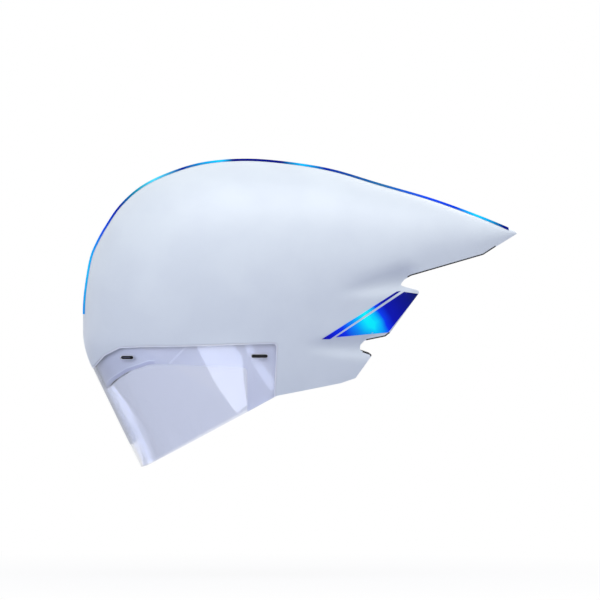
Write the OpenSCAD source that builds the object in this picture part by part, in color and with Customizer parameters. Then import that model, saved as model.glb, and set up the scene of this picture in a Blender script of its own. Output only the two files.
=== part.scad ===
// Long-tail time trial cycling helmet with a large clear visor.
// The origin is the centre of the head cavity. The face looks along -X, the tail points
// along +X, +Z is up and -Y is the wearer's left. The body is symmetric about y = 0.

/* [Shell] */
// Length of the shell from the brow to the tip of the tail
shell_len = 373; // [355:1:400]
// Greatest width of the shell
shell_w = 197; // [190:1:210]
// Height of the shell from the crown to the foot of the ear flaps
shell_h = 203; // [195:1:215]
// Wall of the hard outer shell
shell_wall = 1.6; // [1.2:0.1:2.2]
// Wall of foam and shell together at the sides and ear flaps
side_wall = 15.5; // [14:0.5:17]
// Depth of the two creases that run to the notches
crease_depth = 6; // [3:0.5:7]
// Height of the dark edging under the tail and on the flaps
edging_h = 1.1; // [0.8:0.1:2]

/* [Head cavity] */
// Wall of foam and shell beside the head, at the widest level
cavity_wall = 18.5; // [17:0.5:21]
// Wall of foam and shell over the head, under the highest part of the crown
roof_wall = 25; // [22:0.5:28]
// How much longer than wide the cavity is
cavity_stretch = 34; // [28:1:38]

/* [Visor] */
// Wall of the visor lens
visor_wall = 2.2; // [1.8:0.1:3]
// Gap between the visor and the edge of its recess
visor_gap = 0.5; // [0.3:0.1:1]
// Running gap between the visor and the seal behind it
visor_clear = 0.3; // [0.2:0.05:0.5]
// Thickness of the brow seal
seal_t = 1; // [0.8:0.1:1.6]
// Wall of the frame that the visor rests on
frame_wall = 2.4; // [1.8:0.1:3]
// How far the frame laps under the shell
frame_lap = 5; // [3:0.5:7]
// Length of the front slots in the visor, seen from the side
front_slot_len = 10.7; // [8:0.1:13]
// Length of the rear slots in the visor, seen from the side
rear_slot_len = 13.8; // [10:0.1:16]
// Height of the slots in the visor
slot_h = 3; // [2:0.1:4]
// Diameter of the magnets behind the slots
magnet_d = 8; // [6:0.5:10]

/* [Film graphics] */
// Thickness of the foil graphics
film_t = 0.25; // [0.2:0.05:0.4]
// Height of the stripe along the crown, seen from the side
stripe_h = 2; // [1.5:0.1:3]

/* [Pads] */
// Thickness of the crown and brow pads
pad_t = 7; // [5:0.5:9]
// Width of a crown pad
pad_w = 30; // [24:1:36]
// Thickness of the ear pads
ear_pad_t = 5; // [3:0.5:6]
// Gap between a pad and the foam behind it
pad_clear = 0.3; // [0.2:0.05:0.5]
// Height of the brow pad
brow_pad_h = 26; // [20:1:32]

/* [Fit system] */
// Drop of the dial's axis below the head centre
dial_drop = 38; // [36:1:42]
// Diameter of the dial
dial_d = 30; // [26:1:34]
// Thickness of the dial
dial_t = 8; // [6:0.5:10]
// Diameter of the dial's shaft
shaft_d = 5; // [4:0.5:6]
// Diameter of the pinion that drives the bands
pinion_d = 8; // [7:0.5:9]
// Height of the cradle housing
cradle_h = 25; // [24:1:30]
// Height of a fit band
band_h = 10; // [8:0.5:12]
// Thickness of a fit band
band_t = 1.2; // [1:0.1:1.6]
// Width of the rail that the cradle slides on
rail_w = 15; // [12:1:18]
// Thickness of the rail
rail_t = 1.6; // [1.2:0.1:2]
// Travel of the cradle up and down the rail
cradle_travel = 8; // [6:0.5:9]
// Running gap round the rail and the bands
run_clear = 0.2; // [0.15:0.05:0.3]
// Running gap round the dial's shaft
shaft_clear = 0.05; // [0.03:0.01:0.08]
// Gap between the pinion and each rack
rack_gap = 0.3; // [0.2:0.05:0.4]

/* [Straps] */
// Width of the webbing
web_w = 15; // [12:1:18]
// Thickness of the webbing
web_t = 1.4; // [1:0.1:1.8]
// Diameter of a strap anchor
anchor_d = 18; // [17:1:22]
// Length of a buckle half
buckle_len = 30; // [26:1:34]
// Thickness of a buckle half
buckle_t = 5; // [4:0.5:6]

/* [Hidden] */
left = -1;
right = 1;
both = 0;
$fn = 48;
small_fn = 24;
fine_fn = 120;

// Crown line from brow to tail, one row a station: place along the shell as a share of its
// length, then the heights of the crown and of the widest level as shares of its height
crown_shares = [
    [-0.3203, -0.157, -0.161], [-0.3189, -0.080, -0.157], [-0.3134, 0.004, -0.157],
    [-0.3041, 0.097, -0.157], [-0.2903, 0.161, -0.157], [-0.2673, 0.237, -0.157],
    [-0.2350, 0.322, -0.157], [-0.1889, 0.398, -0.153], [-0.1313, 0.453, -0.148],
    [-0.0507, 0.500, -0.140], [0.0415, 0.517, -0.127], [0.1336, 0.508, -0.097],
    [0.2488, 0.475, -0.042], [0.3641, 0.413, 0.038], [0.4793, 0.352, 0.100],
    [0.5714, 0.292, 0.136], [0.6406, 0.241, 0.176], [0.6682, 0.218, 0.193],
    [0.6797, 0.203, 0.201]
];
// Side view of the body: the open air above it, then along its lower edge from tail to brow
sky_shares = [[-0.6, -0.6], [-0.6, 1], [1, 1], [1, 0.62]];
tail_under_shares = [
    [0.76, 0.295], [0.680, 0.201], [0.629, 0.144], [0.600, 0.110], [0.433, 0.021], [0.418, 0.006]
];
fin_shares = [
    [0.407, -0.019], [0.449, -0.040], [0.452, -0.049], [0.384, -0.219], [0.374, -0.233],
    [0.326, -0.251], [0.317, -0.268]
];
ear_shares = [
    [0.316, -0.290], [0.345, -0.308], [0.306, -0.407], [0.272, -0.428], [0.203, -0.453],
    [0.124, -0.481], [0.058, -0.547]
];
// Parts of the lower edge that have dark edging
tail_band_shares = [[0.425, -0.01], [0.425, 0.1], [0.629, 0.2], [0.629, 0.1], [0.5, -0.01]];
fin_band_shares = [[0.33, -0.235], [0.372, -0.21], [0.41, -0.23], [0.39, -0.26], [0.33, -0.27]];
ear_band_shares = [[0.322, -0.28], [0.36, -0.295], [0.36, -0.32], [0.335, -0.315], [0.322, -0.3]];
// Side view of the recess that the visor fills, from its foot behind to the brow
recess_shares = [
    [0.124, -1.2], [0.124, -0.479], [0.130, -0.256], [-0.109, -0.270], [-0.180, -0.271],
    [-0.232, -0.276], [-0.268, -0.308], [-0.294, -0.359], [-0.301, -0.366], [-0.6, -0.366],
    [-0.6, -1.2]
];
// Inner edge of the frame behind the visor
window_shares = [
    [-0.6, -0.457], [-0.264, -0.457], [-0.244, -0.419], [-0.212, -0.381], [-0.162, -0.350],
    [-0.113, -0.350], [0.060, -0.362], [0.060, -1], [-0.6, -1]
];
// The side view above the foot of the visor, which runs from its front corner to its rear
visor_foot_shares = [
    [-0.6, 0], [-0.6, -0.787], [-0.188, -0.787], [-0.169, -0.775], [0.124, -0.483],
    [0.2, -0.407], [0.2, 0]
];
// The part of the ledge that the brow seal covers
seal_shares = [[-0.6, -0.2], [-0.292, -0.2], [-0.292, -0.35], [-0.262, -0.46], [-0.262, -0.6], [-0.6, -0.6]];
front_slot_shares = [-0.214, -0.321];
rear_slot_shares = [0.088, -0.314];
// Foil on the fin, and the thin line in front of it
fin_film_shares = [[0.261, -0.236], [0.417, -0.046], [0.450, -0.055], [0.381, -0.216]];
fin_line_shares = [[0.229, -0.244], [0.248, -0.244], [0.410, -0.042], [0.400, -0.045]];
stripe_shares = [
    [-0.6, -0.14], [-0.6, 1], [0.660, 1], [0.660, 0.2], [0.55, 0.12], [-0.2, 0.12], [-0.2, -0.14]
];
// Ceiling of the open space between the fins
neck_shares = [
    [0.09, -0.2], [0.14, -0.115], [0.26, -0.072], [0.36, -0.028], [0.44, 0.03], [0.7, 0.03],
    [0.7, -1], [0.09, -1]
];
ear_pad_shares = [[0.14, -0.235], [0.225, -0.245], [0.215, -0.4], [0.14, -0.425]];
// Places of the strap hardware on the inside of the flaps
front_anchor_shares = [-0.02, -0.255];
rear_anchor_shares = [0.262, -0.185];
divider_shares = [0.165, -0.385];
buckle_shares = [0.225, -0.29];
corner_share = 0.008;
turn_share = 0.02;

// Shape of the shell between the stations
widest_share = 0.03;
section_power = 2.15;
front_power = 2.2;
tail_power = 1.75;
tail_round = 0.8;
tuck_share = 0.07;
// The front leans back below this height, down to the brow and on along the visor
lean_top_share = -0.208;
brow_share = -0.366;
lean_end_share = 0.18;
visor_lean = 0.4925;
body_low_share = -0.52;
visor_low_share = -0.84;
// Creases: start, end, and the half width at the end as a share of the shell's height
upper_crease_shares = [[0.267, -0.047], [0.419, 0.008], [0.075, 0]];
lower_crease_shares = [[0.191, -0.275], [0.320, -0.267], [0.07, 0]];
start_share = 0.012;
end_share = 0.994;
deep_end_share = 0.8;
visor_end_share = 0.68;
step_share = 0.002;
// Rows of the free-form mesh: stations along the shell, rows above and below the widest level
body_rows = [30, 8, 8];
visor_rows = [34, 3, 5];
deep_rows = [20, 3, 7];

nose_x = crown_shares[0][0] * shell_len;
tail_x = crown_shares[len(crown_shares) - 1][0] * shell_len;
widest_x = widest_share * shell_len;
lean_end_x = lean_end_share * shell_len;
lean_top_z = lean_top_share * shell_h;
brow_z = brow_share * shell_h;
tuck_h = shell_h / 2.5;
span = shell_w;
overrun = shell_wall / 2;
flush = film_t / 5;

cavity_r = shell_w / 2 - cavity_wall;
cavity_c = cavity_stretch / 2;
cavity_len = 2 * (cavity_r + cavity_c);
crown_z = max([for (row = crown_shares) row[1]]) * shell_h;
dome_z = crown_z - roof_wall - cavity_r;
frame_depth = visor_wall + visor_clear + seal_t;
slot_lip = film_t;

// Radii of the fit system about the upright line through the back of the cavity
rail_r = cavity_r - pad_t;
band_r = rail_r + rail_t + pinion_d / 3;
cradle_r = rail_r - rail_t;
cradle_back_r = band_r + band_t + shaft_d;
rack_h = band_h / 2;
brow_angle = 62;
cradle_angle = 24;
rack_angle = 8;
band_start_angle = 38;
band_end_angle = 75;
pad_pitch = 1.3 * pad_w;
strap_depth = side_wall + ear_pad_t + 2 * pad_clear;
chin_depth = strap_depth + web_t + pad_clear;

function mix(a, b, s) = a + (b - a) * s;
function unit(a) = a / norm(a);
function clamp01(s) = min(max(s, 0), 1);
function arc_angle(length, r) = length / r * 180 / PI;
function place(share) = [share[0] * shell_len, share[1] * shell_h];
function places(shares) = [for (s = shares) place(s)];

// A smooth curve through the rows of a table
function spline_row(rows, t) =
    let (
        last = len(rows) - 1,
        f = clamp01(t) * last,
        i = min(floor(f), last - 1),
        s = f - i,
        a = rows[max(i - 1, 0)],
        b = rows[i],
        c = rows[i + 1],
        d = rows[min(i + 2, last)]
    )
    (2 * b + (c - a) * s + (2 * a - 5 * b + 4 * c - d) * s * s + (3 * b - 3 * c + d - a) * s * s * s) / 2;

function half_width(x) =
    x < widest_x
    ? shell_w / 2 * pow(max(1 - pow((widest_x - x) / (widest_x - nose_x), front_power), 0), 1 / front_power)
    : shell_w / 2 * pow(max(1 - pow((x - widest_x) / (tail_x - widest_x), tail_power), 0), tail_round);

// How far the front has moved back at a height
function lean(z) =
    z > lean_top_z ? 0
    : z > brow_z ? visor_lean * pow(lean_top_z - z, 2) / (2 * (lean_top_z - brow_z))
    : visor_lean * ((lean_top_z - brow_z) / 2 + brow_z - z);

function lean_part(x) =
    let (s = clamp01((x - nose_x) / (lean_end_x - nose_x)))
    1 - s * s * (3 - 2 * s);

function crease(x, z, line) =
    let (
        a = place(line[0]),
        b = place(line[1]),
        p = [x, z],
        s = clamp01((p - a) * (b - a) / ((b - a) * (b - a))),
        q = norm(p - a - s * (b - a)) / (line[2][0] * shell_h * (0.4 + 0.6 * s))
    )
    q < 1 ? crease_depth * s * pow(1 - q * q, 2) : 0;

function creases(x, z) = crease(x, z, upper_crease_shares) + crease(x, z, lower_crease_shares);

// A point of the outer surface on the wearer's right: t runs from brow to tail, and
// v from the crown (0) over the widest level (1) to the lowest level (2)
function surface_at(t, v, low, creased) =
    let (
        row = spline_row(crown_shares, t),
        x = row[0] * shell_len,
        top = row[1] * shell_h,
        belt = row[2] * shell_h,
        w = half_width(x),
        a = 90 * (1 - min(v, 1)),
        c = cos(a),
        y0 = w * sign(c) * pow(abs(c), 2 / section_power),
        z = v <= 1 ? belt + (top - belt) * pow(sin(a), 2 / section_power) : mix(belt, low, v - 1),
        tuck = v <= 1 ? 1 : 1 - tuck_share * pow((belt - z) / tuck_h, 2),
        y = y0 * tuck - (creased && v > 0 ? min(creases(x, z), y0 / 2) : 0)
    )
    [x + lean(z) * lean_part(x), y, z];

function surface_normal(t, v, low, creased) =
    unit(cross(
        surface_at(t + step_share, v, low, creased) - surface_at(t - step_share, v, low, creased),
        surface_at(t, v + step_share, low, creased) - surface_at(t, v - step_share, low, creased)
    ));

function offset_at(t, v, low, creased, d) =
    surface_at(t, v, low, creased) + d * surface_normal(t, v, low, creased);

function ring(t, rows, low, creased, d) =
    let (
        side = [for (v = rows) offset_at(t, v, low, creased, d)],
        last = len(side) - 1
    )
    concat(
        [for (i = [last:-1:1]) side[i]],
        [[side[0][0], 0, side[0][2]]],
        [for (i = [1:last]) [side[i][0], -side[i][1], side[i][2]]]
    );

function quad(a, b, c, d) = [[a, b, c], [a, c, d]];

// The whole outer form moved by d along its normals, as one closed solid down to low
module form(d, low, creased, last_t, counts) {
    rows = concat(
        [for (i = [0:counts[1] - 1]) i / counts[1]],
        [for (i = [0:counts[2]]) 1 + i / counts[2]]
    );
    steps = round(counts[0] * last_t);
    rings = [for (i = [0:steps]) ring(mix(start_share, last_t, i / steps), rows, low, creased, d)];
    m = len(rings[0]);
    half = (m - 1) / 2;
    sides = [
        for (i = [0:steps - 1], k = [0:m - 2])
        each quad(i * m + k, (i + 1) * m + k, (i + 1) * m + k + 1, i * m + k + 1)
    ];
    foot = [
        for (i = [0:steps - 1])
        each quad(i * m, i * m + m - 1, (i + 1) * m + m - 1, (i + 1) * m)
    ];
    front = concat(
        [for (k = [0:half - 2]) each quad(k, k + 1, m - 2 - k, m - 1 - k)],
        [[half - 1, half, half + 1]]
    );
    rear = [for (f = front) [f[0] + steps * m, f[2] + steps * m, f[1] + steps * m]];
    polyhedron(points = [for (r = rings) each r], faces = concat(sides, foot, front, rear));
}

module body_form(d) {
    form(d, body_low_share * shell_h, true, end_share, body_rows);
}

module deep_form(d) {
    form(d, body_low_share * shell_h, false, deep_end_share, deep_rows);
}

module visor_form(d) {
    form(d, visor_low_share * shell_h, false, visor_end_share, visor_rows);
}

// Solids cut from the free-form surface are made as one mesh
module meshed() {
    resize([0, 0, 0]) children();
}

// A side view outline pushed through the body, or through one half of it
module through(side = both) {
    near = side == left ? flush : -span;
    far = side == right ? -flush : span;
    rotate([90, 0, 0]) translate([0, 0, near]) linear_extrude(far - near) children();
}

module outline(shares) {
    polygon(places(shares));
}

module softened(r) {
    offset(r = r) offset(r = -2 * r) offset(r = r) children();
}

// The strip along the lower edge of the side view that one piece of dark edging fills
module lower_band() {
    difference() {
        children();
        offset(delta = -edging_h) body_outline();
    }
}

module without_bands() {
    difference() {
        children();
        for (shares = [tail_band_shares, fin_band_shares, ear_band_shares])
            lower_band() outline(shares);
    }
}

// Side view of the body with the ledge behind the visor
module full_outline() {
    softened(corner_share * shell_h) difference() {
        whole_outline();
        window_outline();
    }
}

// Side view of the hard shell, without the recess that the visor fills
module body_outline() {
    softened(corner_share * shell_h) difference() {
        whole_outline();
        recess_outline();
    }
}

module whole_outline() {
    outline(concat(sky_shares, tail_under_shares, fin_shares, ear_shares));
}

module recess_outline() {
    offset(r = turn_share * shell_h) offset(delta = -turn_share * shell_h) outline(recess_shares);
}

module window_outline() {
    offset(r = turn_share * shell_h) offset(delta = -turn_share * shell_h) outline(window_shares);
}

module visor_outline() {
    softened(turn_share * shell_h / 2) intersection() {
        offset(delta = -visor_gap) recess_outline();
        outline(visor_foot_shares);
    }
}

module ledge_outline() {
    difference() {
        intersection() {
            recess_outline();
            outline(visor_foot_shares);
        }
        window_outline();
    }
}

module frame_outline() {
    difference() {
        intersection() {
            offset(delta = frame_lap) recess_outline();
            outline(visor_foot_shares);
        }
        window_outline();
    }
}

module slot_outline(shares, length) {
    reach = (length - slot_h) / 2;
    translate(place(shares)) hull() {
        translate([-reach, 0]) circle(d = slot_h, $fn = small_fn);
        translate([reach, 0]) circle(d = slot_h, $fn = small_fn);
    }
}

module magnet_outline(shares) {
    translate(place(shares)) circle(d = magnet_d, $fn = small_fn);
}

// The space for the head: a rounded barrel, open straight down
module cavity(gap = 0) {
    r = cavity_r - gap;
    crown_barrel(gap);
    translate([0, 0, dome_z]) mirror([0, 0, 1]) linear_extrude(shell_h) {
        for (x = [-cavity_c, cavity_c]) translate([x, 0]) circle(r = r);
        square([2 * cavity_c, 2 * r], center = true);
    }
}

module neck_space() {
    intersection() {
        deep_form(-side_wall);
        through() outline(neck_shares);
    }
}

module outer_shell() {
    color("white") meshed() intersection() {
        difference() {
            body_form(0);
            body_form(-shell_wall);
        }
        through() without_bands() body_outline();
    }
}

module foam_liner() {
    color("#26262a") meshed() difference() {
        intersection() {
            body_form(-shell_wall);
            through() without_bands() full_outline();
        }
        intersection() {
            difference() {
                visor_form(2 * shell_wall);
                visor_form(-frame_depth - frame_wall);
            }
            through() recess_outline();
        }
        intersection() {
            difference() {
                visor_form(-frame_depth);
                visor_form(-frame_depth - frame_wall);
            }
            through() offset(delta = frame_lap) recess_outline();
        }
        cavity();
        neck_space();
    }
}

module visor_frame() {
    color("#c9ccd8") meshed() difference() {
        intersection() {
            visor_form(-frame_depth);
            through() difference() {
                frame_outline();
                magnet_outline(front_slot_shares);
                magnet_outline(rear_slot_shares);
            }
        }
        visor_form(-frame_depth - frame_wall);
    }
}

module tail_cover() {
    color("#151517") meshed() intersection() {
        body_form(0);
        through() intersection() {
            body_outline();
            lower_band() outline(tail_band_shares);
        }
    }
}

module edging(side, shares) {
    color("#151517") meshed() difference() {
        intersection() {
            body_form(0);
            through(side) intersection() {
                body_outline();
                lower_band() outline(shares);
            }
        }
        cavity();
        neck_space();
    }
}

module film(side = both) {
    meshed() intersection() {
        difference() {
            body_form(film_t);
            body_form(0);
        }
        through(side) intersection() {
            body_outline();
            children();
        }
    }
}

module crown_stripe() {
    color("#1238b8") meshed() intersection() {
        difference() {
            body_form(film_t);
            body_form(0);
        }
        through() intersection() {
            body_outline();
            outline(stripe_shares);
            difference() {
                offset(delta = 2 * film_t) crown_outline();
                offset(delta = -stripe_h) crown_outline();
            }
        }
    }
}

// Side view of all that lies under the crown line
module crown_outline() {
    steps = round(body_rows[0] * end_share);
    line = [for (i = [0:steps]) surface_at(mix(start_share, end_share, i / steps), 0, 0, true)];
    polygon(concat([for (p = line) [p[0], p[2]]], [[tail_x, -shell_h], [line[0][0], -shell_h]]));
}

module fin_film(side) {
    color("#0a22c4") film(side) outline(fin_film_shares);
}

module fin_line(side) {
    color("#0a22c4") film(side) outline(fin_line_shares);
}

module visor_lens() {
    color("#b9c0dc", 0.4) meshed() intersection() {
        difference() {
            visor_form(0);
            visor_form(-visor_wall);
        }
        through() difference() {
            visor_outline();
            slot_outline(front_slot_shares, front_slot_len);
            slot_outline(rear_slot_shares, rear_slot_len);
        }
    }
}

module slot_insert(side, shares, length) {
    color("#101012") meshed() intersection() {
        difference() {
            visor_form(slot_lip);
            visor_form(-visor_wall);
        }
        through(side) slot_outline(shares, length);
    }
}

module magnet(side, shares) {
    color("#9a9ca2") meshed() intersection() {
        difference() {
            visor_form(-frame_depth);
            visor_form(-frame_depth - frame_wall);
        }
        through(side) magnet_outline(shares);
    }
}

module brow_seal() {
    color("#141416") meshed() intersection() {
        difference() {
            visor_form(-frame_depth + seal_t);
            visor_form(-frame_depth);
        }
        through() intersection() {
            offset(delta = -visor_gap) ledge_outline();
            outline(seal_shares);
        }
    }
}

module brow_pad() {
    low = -dial_drop - brow_pad_h / 2;
    color("#1c1c20") translate([-cavity_c, 0, low]) rotate([0, 0, 180 - brow_angle])
        rotate_extrude(angle = 2 * brow_angle) translate([cavity_r - pad_clear - pad_t, 0])
            rounded(pad_t, brow_pad_h, pad_t / 3, false);
}

module rounded(w, h, r, centred = true) {
    translate(centred ? [-w / 2, -h / 2] : [0, 0]) {
        translate([r, 0]) square([w - 2 * r, h]);
        translate([0, r]) square([w, h - 2 * r]);
        for (x = [r, w - r], y = [r, h - r]) translate([x, y]) circle(r = r);
    }
}

// A pad that lines the crown, cut from the barrel by an upright prism
module crown_pad(y, length) {
    color("#1c1c20") intersection() {
        difference() {
            crown_barrel(pad_clear);
            crown_barrel(pad_clear + pad_t);
        }
        translate([0, y, dome_z + cavity_r / 4])
            linear_extrude(cavity_r) rounded(length, pad_w, pad_w / 4);
    }
}

module crown_barrel(gap) {
    translate([0, 0, dome_z]) {
        for (x = [-cavity_c, cavity_c]) translate([x, 0, 0]) sphere(r = cavity_r - gap);
        rotate([0, 90, 0]) cylinder(r = cavity_r - gap, h = 2 * cavity_c, center = true);
    }
}

module ear_pad(side) {
    color("#1c1c20") meshed() intersection() {
        difference() {
            deep_form(-side_wall - pad_clear);
            deep_form(-side_wall - pad_clear - ear_pad_t);
        }
        through(side) softened(turn_share * shell_h) outline(ear_pad_shares);
    }
}

module arc_plate(r0, r1, a0, a1, z0, z1) {
    translate([cavity_c, 0, z0]) rotate([0, 0, a0])
        rotate_extrude(angle = a1 - a0) translate([r0, 0]) square([r1 - r0, z1 - z0]);
}

module along_x(x0, x1, d) {
    translate([cavity_c + x0, 0, -dial_drop]) rotate([0, 90, 0]) cylinder(d = d, h = x1 - x0);
}

module rail() {
    a = arc_angle(rail_w / 2, rail_r);
    color("#2a2a2e")
        arc_plate(rail_r, rail_r + rail_t, -a, a, -dial_drop - cradle_h / 2 - cradle_travel, dome_z);
}

module rail_anchor() {
    a = arc_angle(rail_w, rail_r);
    color("#1e1e22")
        arc_plate(rail_r + rail_t, cavity_r - pad_clear, -a, a, dome_z - 1.5 * pad_t, dome_z);
}

module cradle() {
    a = arc_angle(rail_w / 2 + run_clear, rail_r);
    rack_reach = pinion_d / 2 + rack_h + 2 * rack_gap;
    color("#2a2a2e") difference() {
        arc_plate(
            cradle_r, cradle_back_r, -cradle_angle, cradle_angle,
            -dial_drop - cradle_h / 2, -dial_drop + cradle_h / 2
        );
        arc_plate(
            rail_r - run_clear, rail_r + rail_t + run_clear, -a, a,
            -dial_drop - cradle_h, -dial_drop + cradle_h
        );
        arc_plate(
            band_r - run_clear, band_r + band_t + run_clear, -2 * cradle_angle, 2 * cradle_angle,
            -dial_drop - rack_reach, -dial_drop + rack_reach
        );
        along_x(rail_r, band_r + band_t + run_clear + overrun, pinion_d + 2 * rack_gap);
        along_x(band_r, cradle_back_r + overrun, shaft_d + 2 * shaft_clear);
    }
}

module cradle_pad(side) {
    thick = pad_t / 2;
    from = side == right ? rack_angle : -cradle_angle;
    color("#1c1c20")
        arc_plate(
            cradle_r - thick, cradle_r, from, from + cradle_angle - rack_angle,
            -dial_drop - cradle_h / 3, -dial_drop + cradle_h / 3
        );
}

module dial_knob() {
    ribs = 16;
    color("#202024") difference() {
        along_x(cradle_back_r + run_clear, cradle_back_r + run_clear + dial_t, dial_d);
        for (i = [0:ribs - 1]) translate([cavity_c + cradle_back_r, 0, -dial_drop])
            rotate([i * 360 / ribs, 0, 0]) translate([dial_t / 4, 0, dial_d / 2])
                rotate([0, 90, 0]) cylinder(d = dial_d / ribs, h = dial_t);
    }
}

module dial_pinion() {
    color("#c8c8cc") {
        along_x(rail_r + rail_t + 2 * run_clear, band_r + band_t, pinion_d);
        along_x(rail_r + rail_t + 2 * run_clear, cradle_back_r + run_clear, shaft_d);
    }
}

// One band is the other turned half round about the dial's axis
module fit_band(side) {
    top = pinion_d / 2 + rack_gap + rack_h;
    turn = side == left ? 180 : 0;
    color("#2a2a2e") meshed() translate([0, 0, -dial_drop]) rotate([turn, 0, 0]) difference() {
        arc_plate(band_r, band_r + band_t, -rack_angle, band_end_angle, -band_h / 2, top, $fn = fine_fn);
        arc_plate(
            band_r - band_t, band_r + 2 * band_t, -2 * rack_angle, band_start_angle,
            -band_h, top - rack_h
        );
    }
}

// A piece that lies against the inside of a flap, between two depths
module lining(side, outer, inner) {
    meshed() intersection() {
        difference() {
            deep_form(-outer);
            deep_form(-inner);
        }
        through(side) children();
    }
}

// A boss on the side wall of the cavity, as deep as the webbing that it holds
module front_anchor(side) {
    color("#232327") meshed() difference() {
        intersection() {
            cavity(pad_clear);
            through(side) disc_outline(front_anchor_shares);
        }
        deep_form(-strap_depth);
    }
}

module rear_anchor(side) {
    color("#232327") lining(side, side_wall + pad_clear, strap_depth) disc_outline(rear_anchor_shares);
}

module disc_outline(shares) {
    translate(place(shares)) circle(d = anchor_d, $fn = small_fn);
}

module web_outline(from, to) {
    hull() {
        translate(place(from)) circle(d = web_w, $fn = small_fn);
        translate(place(to)) circle(d = web_w, $fn = small_fn);
    }
}

// Webbing from an anchor to the divider, which clamps its end
module side_web(side, from) {
    color("#1a1a1c") lining(side, strap_depth, strap_depth + web_t) difference() {
        web_outline(from, divider_shares);
        disc_outline(divider_shares);
    }
}

// Webbing from the divider to a buckle half, one layer further in
module chin_web(side) {
    color("#1a1a1c") lining(side, chin_depth, chin_depth + web_t) difference() {
        web_outline(divider_shares, buckle_shares);
        disc_outline(divider_shares);
        buckle_outline();
    }
}

module strap_divider(side) {
    color("#151517") lining(side, strap_depth, chin_depth + 2 * web_t) disc_outline(divider_shares);
}

module buckle_outline() {
    translate(place(buckle_shares)) rounded(buckle_len, web_w + buckle_t, buckle_t / 2, $fn = small_fn);
}

module buckle_half(side) {
    color("#151517") lining(side, chin_depth, chin_depth + buckle_t) buckle_outline();
}

outer_shell();
foam_liner();
visor_frame();
tail_cover();
edging(left, fin_band_shares);  // fin_edging_left
edging(right, fin_band_shares);  // fin_edging_right
edging(left, ear_band_shares);  // ear_edging_left
edging(right, ear_band_shares);  // ear_edging_right
crown_stripe();
fin_film(left);  // fin_film_left
fin_film(right);  // fin_film_right
fin_line(left);  // fin_line_left
fin_line(right);  // fin_line_right
visor_lens();
slot_insert(left, front_slot_shares, front_slot_len);  // front_insert_left
slot_insert(right, front_slot_shares, front_slot_len);  // front_insert_right
slot_insert(left, rear_slot_shares, rear_slot_len);  // rear_insert_left
slot_insert(right, rear_slot_shares, rear_slot_len);  // rear_insert_right
magnet(left, front_slot_shares);  // front_magnet_left
magnet(right, front_slot_shares);  // front_magnet_right
magnet(left, rear_slot_shares);  // rear_magnet_left
magnet(right, rear_slot_shares);  // rear_magnet_right
brow_seal();
brow_pad();
crown_pad(0, cavity_len / 2);  // crown_pad_mid
crown_pad(-pad_pitch, cavity_len / 2.6);  // crown_pad_left
crown_pad(pad_pitch, cavity_len / 2.6);  // crown_pad_right
ear_pad(left);  // ear_pad_left
ear_pad(right);  // ear_pad_right
rail();
rail_anchor();
cradle();
cradle_pad(left);  // cradle_pad_left
cradle_pad(right);  // cradle_pad_right
dial_knob();
dial_pinion();
fit_band(left);  // fit_band_left
fit_band(right);  // fit_band_right
front_anchor(left);  // front_anchor_left
front_anchor(right);  // front_anchor_right
rear_anchor(left);  // rear_anchor_left
rear_anchor(right);  // rear_anchor_right
side_web(left, front_anchor_shares);  // front_web_left
side_web(right, front_anchor_shares);  // front_web_right
side_web(left, rear_anchor_shares);  // rear_web_left
side_web(right, rear_anchor_shares);  // rear_web_right
strap_divider(left);  // strap_divider_left
strap_divider(right);  // strap_divider_right
chin_web(left);  // chin_web_left
chin_web(right);  // chin_web_right
buckle_half(left);  // buckle_socket
buckle_half(right);  // buckle_plug
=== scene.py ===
# %% [markdown]
# # A long-tail time trial helmet
#
# A time trial helmet is a hard shell drawn out into a tail, with a large clear visor held on
# by magnets. The measured model is loaded first as a fixed frame. Everything after that is
# made round it in the same place and at the same size, so a better looking piece can stand
# for each measured one.

# %% Load the frame
import math

import bmesh
import bpy
import numpy as np
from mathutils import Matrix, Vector
from mathutils.bvhtree import BVHTree


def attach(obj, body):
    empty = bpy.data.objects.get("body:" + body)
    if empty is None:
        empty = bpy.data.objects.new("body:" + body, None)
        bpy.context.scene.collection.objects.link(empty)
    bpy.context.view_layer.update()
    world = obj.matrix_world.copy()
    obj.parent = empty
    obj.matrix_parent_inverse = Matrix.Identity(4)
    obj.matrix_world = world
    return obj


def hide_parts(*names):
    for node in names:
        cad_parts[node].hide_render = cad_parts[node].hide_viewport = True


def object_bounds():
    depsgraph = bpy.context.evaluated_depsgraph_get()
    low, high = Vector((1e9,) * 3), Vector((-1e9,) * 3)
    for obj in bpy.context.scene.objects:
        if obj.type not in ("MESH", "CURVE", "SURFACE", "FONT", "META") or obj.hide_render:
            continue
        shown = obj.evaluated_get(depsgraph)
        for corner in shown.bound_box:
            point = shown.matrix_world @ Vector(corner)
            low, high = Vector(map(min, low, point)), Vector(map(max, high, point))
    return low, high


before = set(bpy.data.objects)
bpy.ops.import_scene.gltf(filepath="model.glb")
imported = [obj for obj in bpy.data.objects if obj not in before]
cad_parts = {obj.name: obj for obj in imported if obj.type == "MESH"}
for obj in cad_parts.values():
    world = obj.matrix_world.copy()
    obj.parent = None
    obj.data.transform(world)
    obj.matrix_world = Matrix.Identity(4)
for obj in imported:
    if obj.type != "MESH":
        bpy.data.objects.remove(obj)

cad_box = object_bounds()
print("measured pieces:", len(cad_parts))

# %% [markdown]
# ## Camera
#
# The helmet is shown in a pure side view, so a very long lens stands far off and looks
# straight along +Y. The picture is 600 pixels wide and one pixel is 0.8594 mm, which gives
# the width of the view, and the lens follows from that width and the distance.

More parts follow.
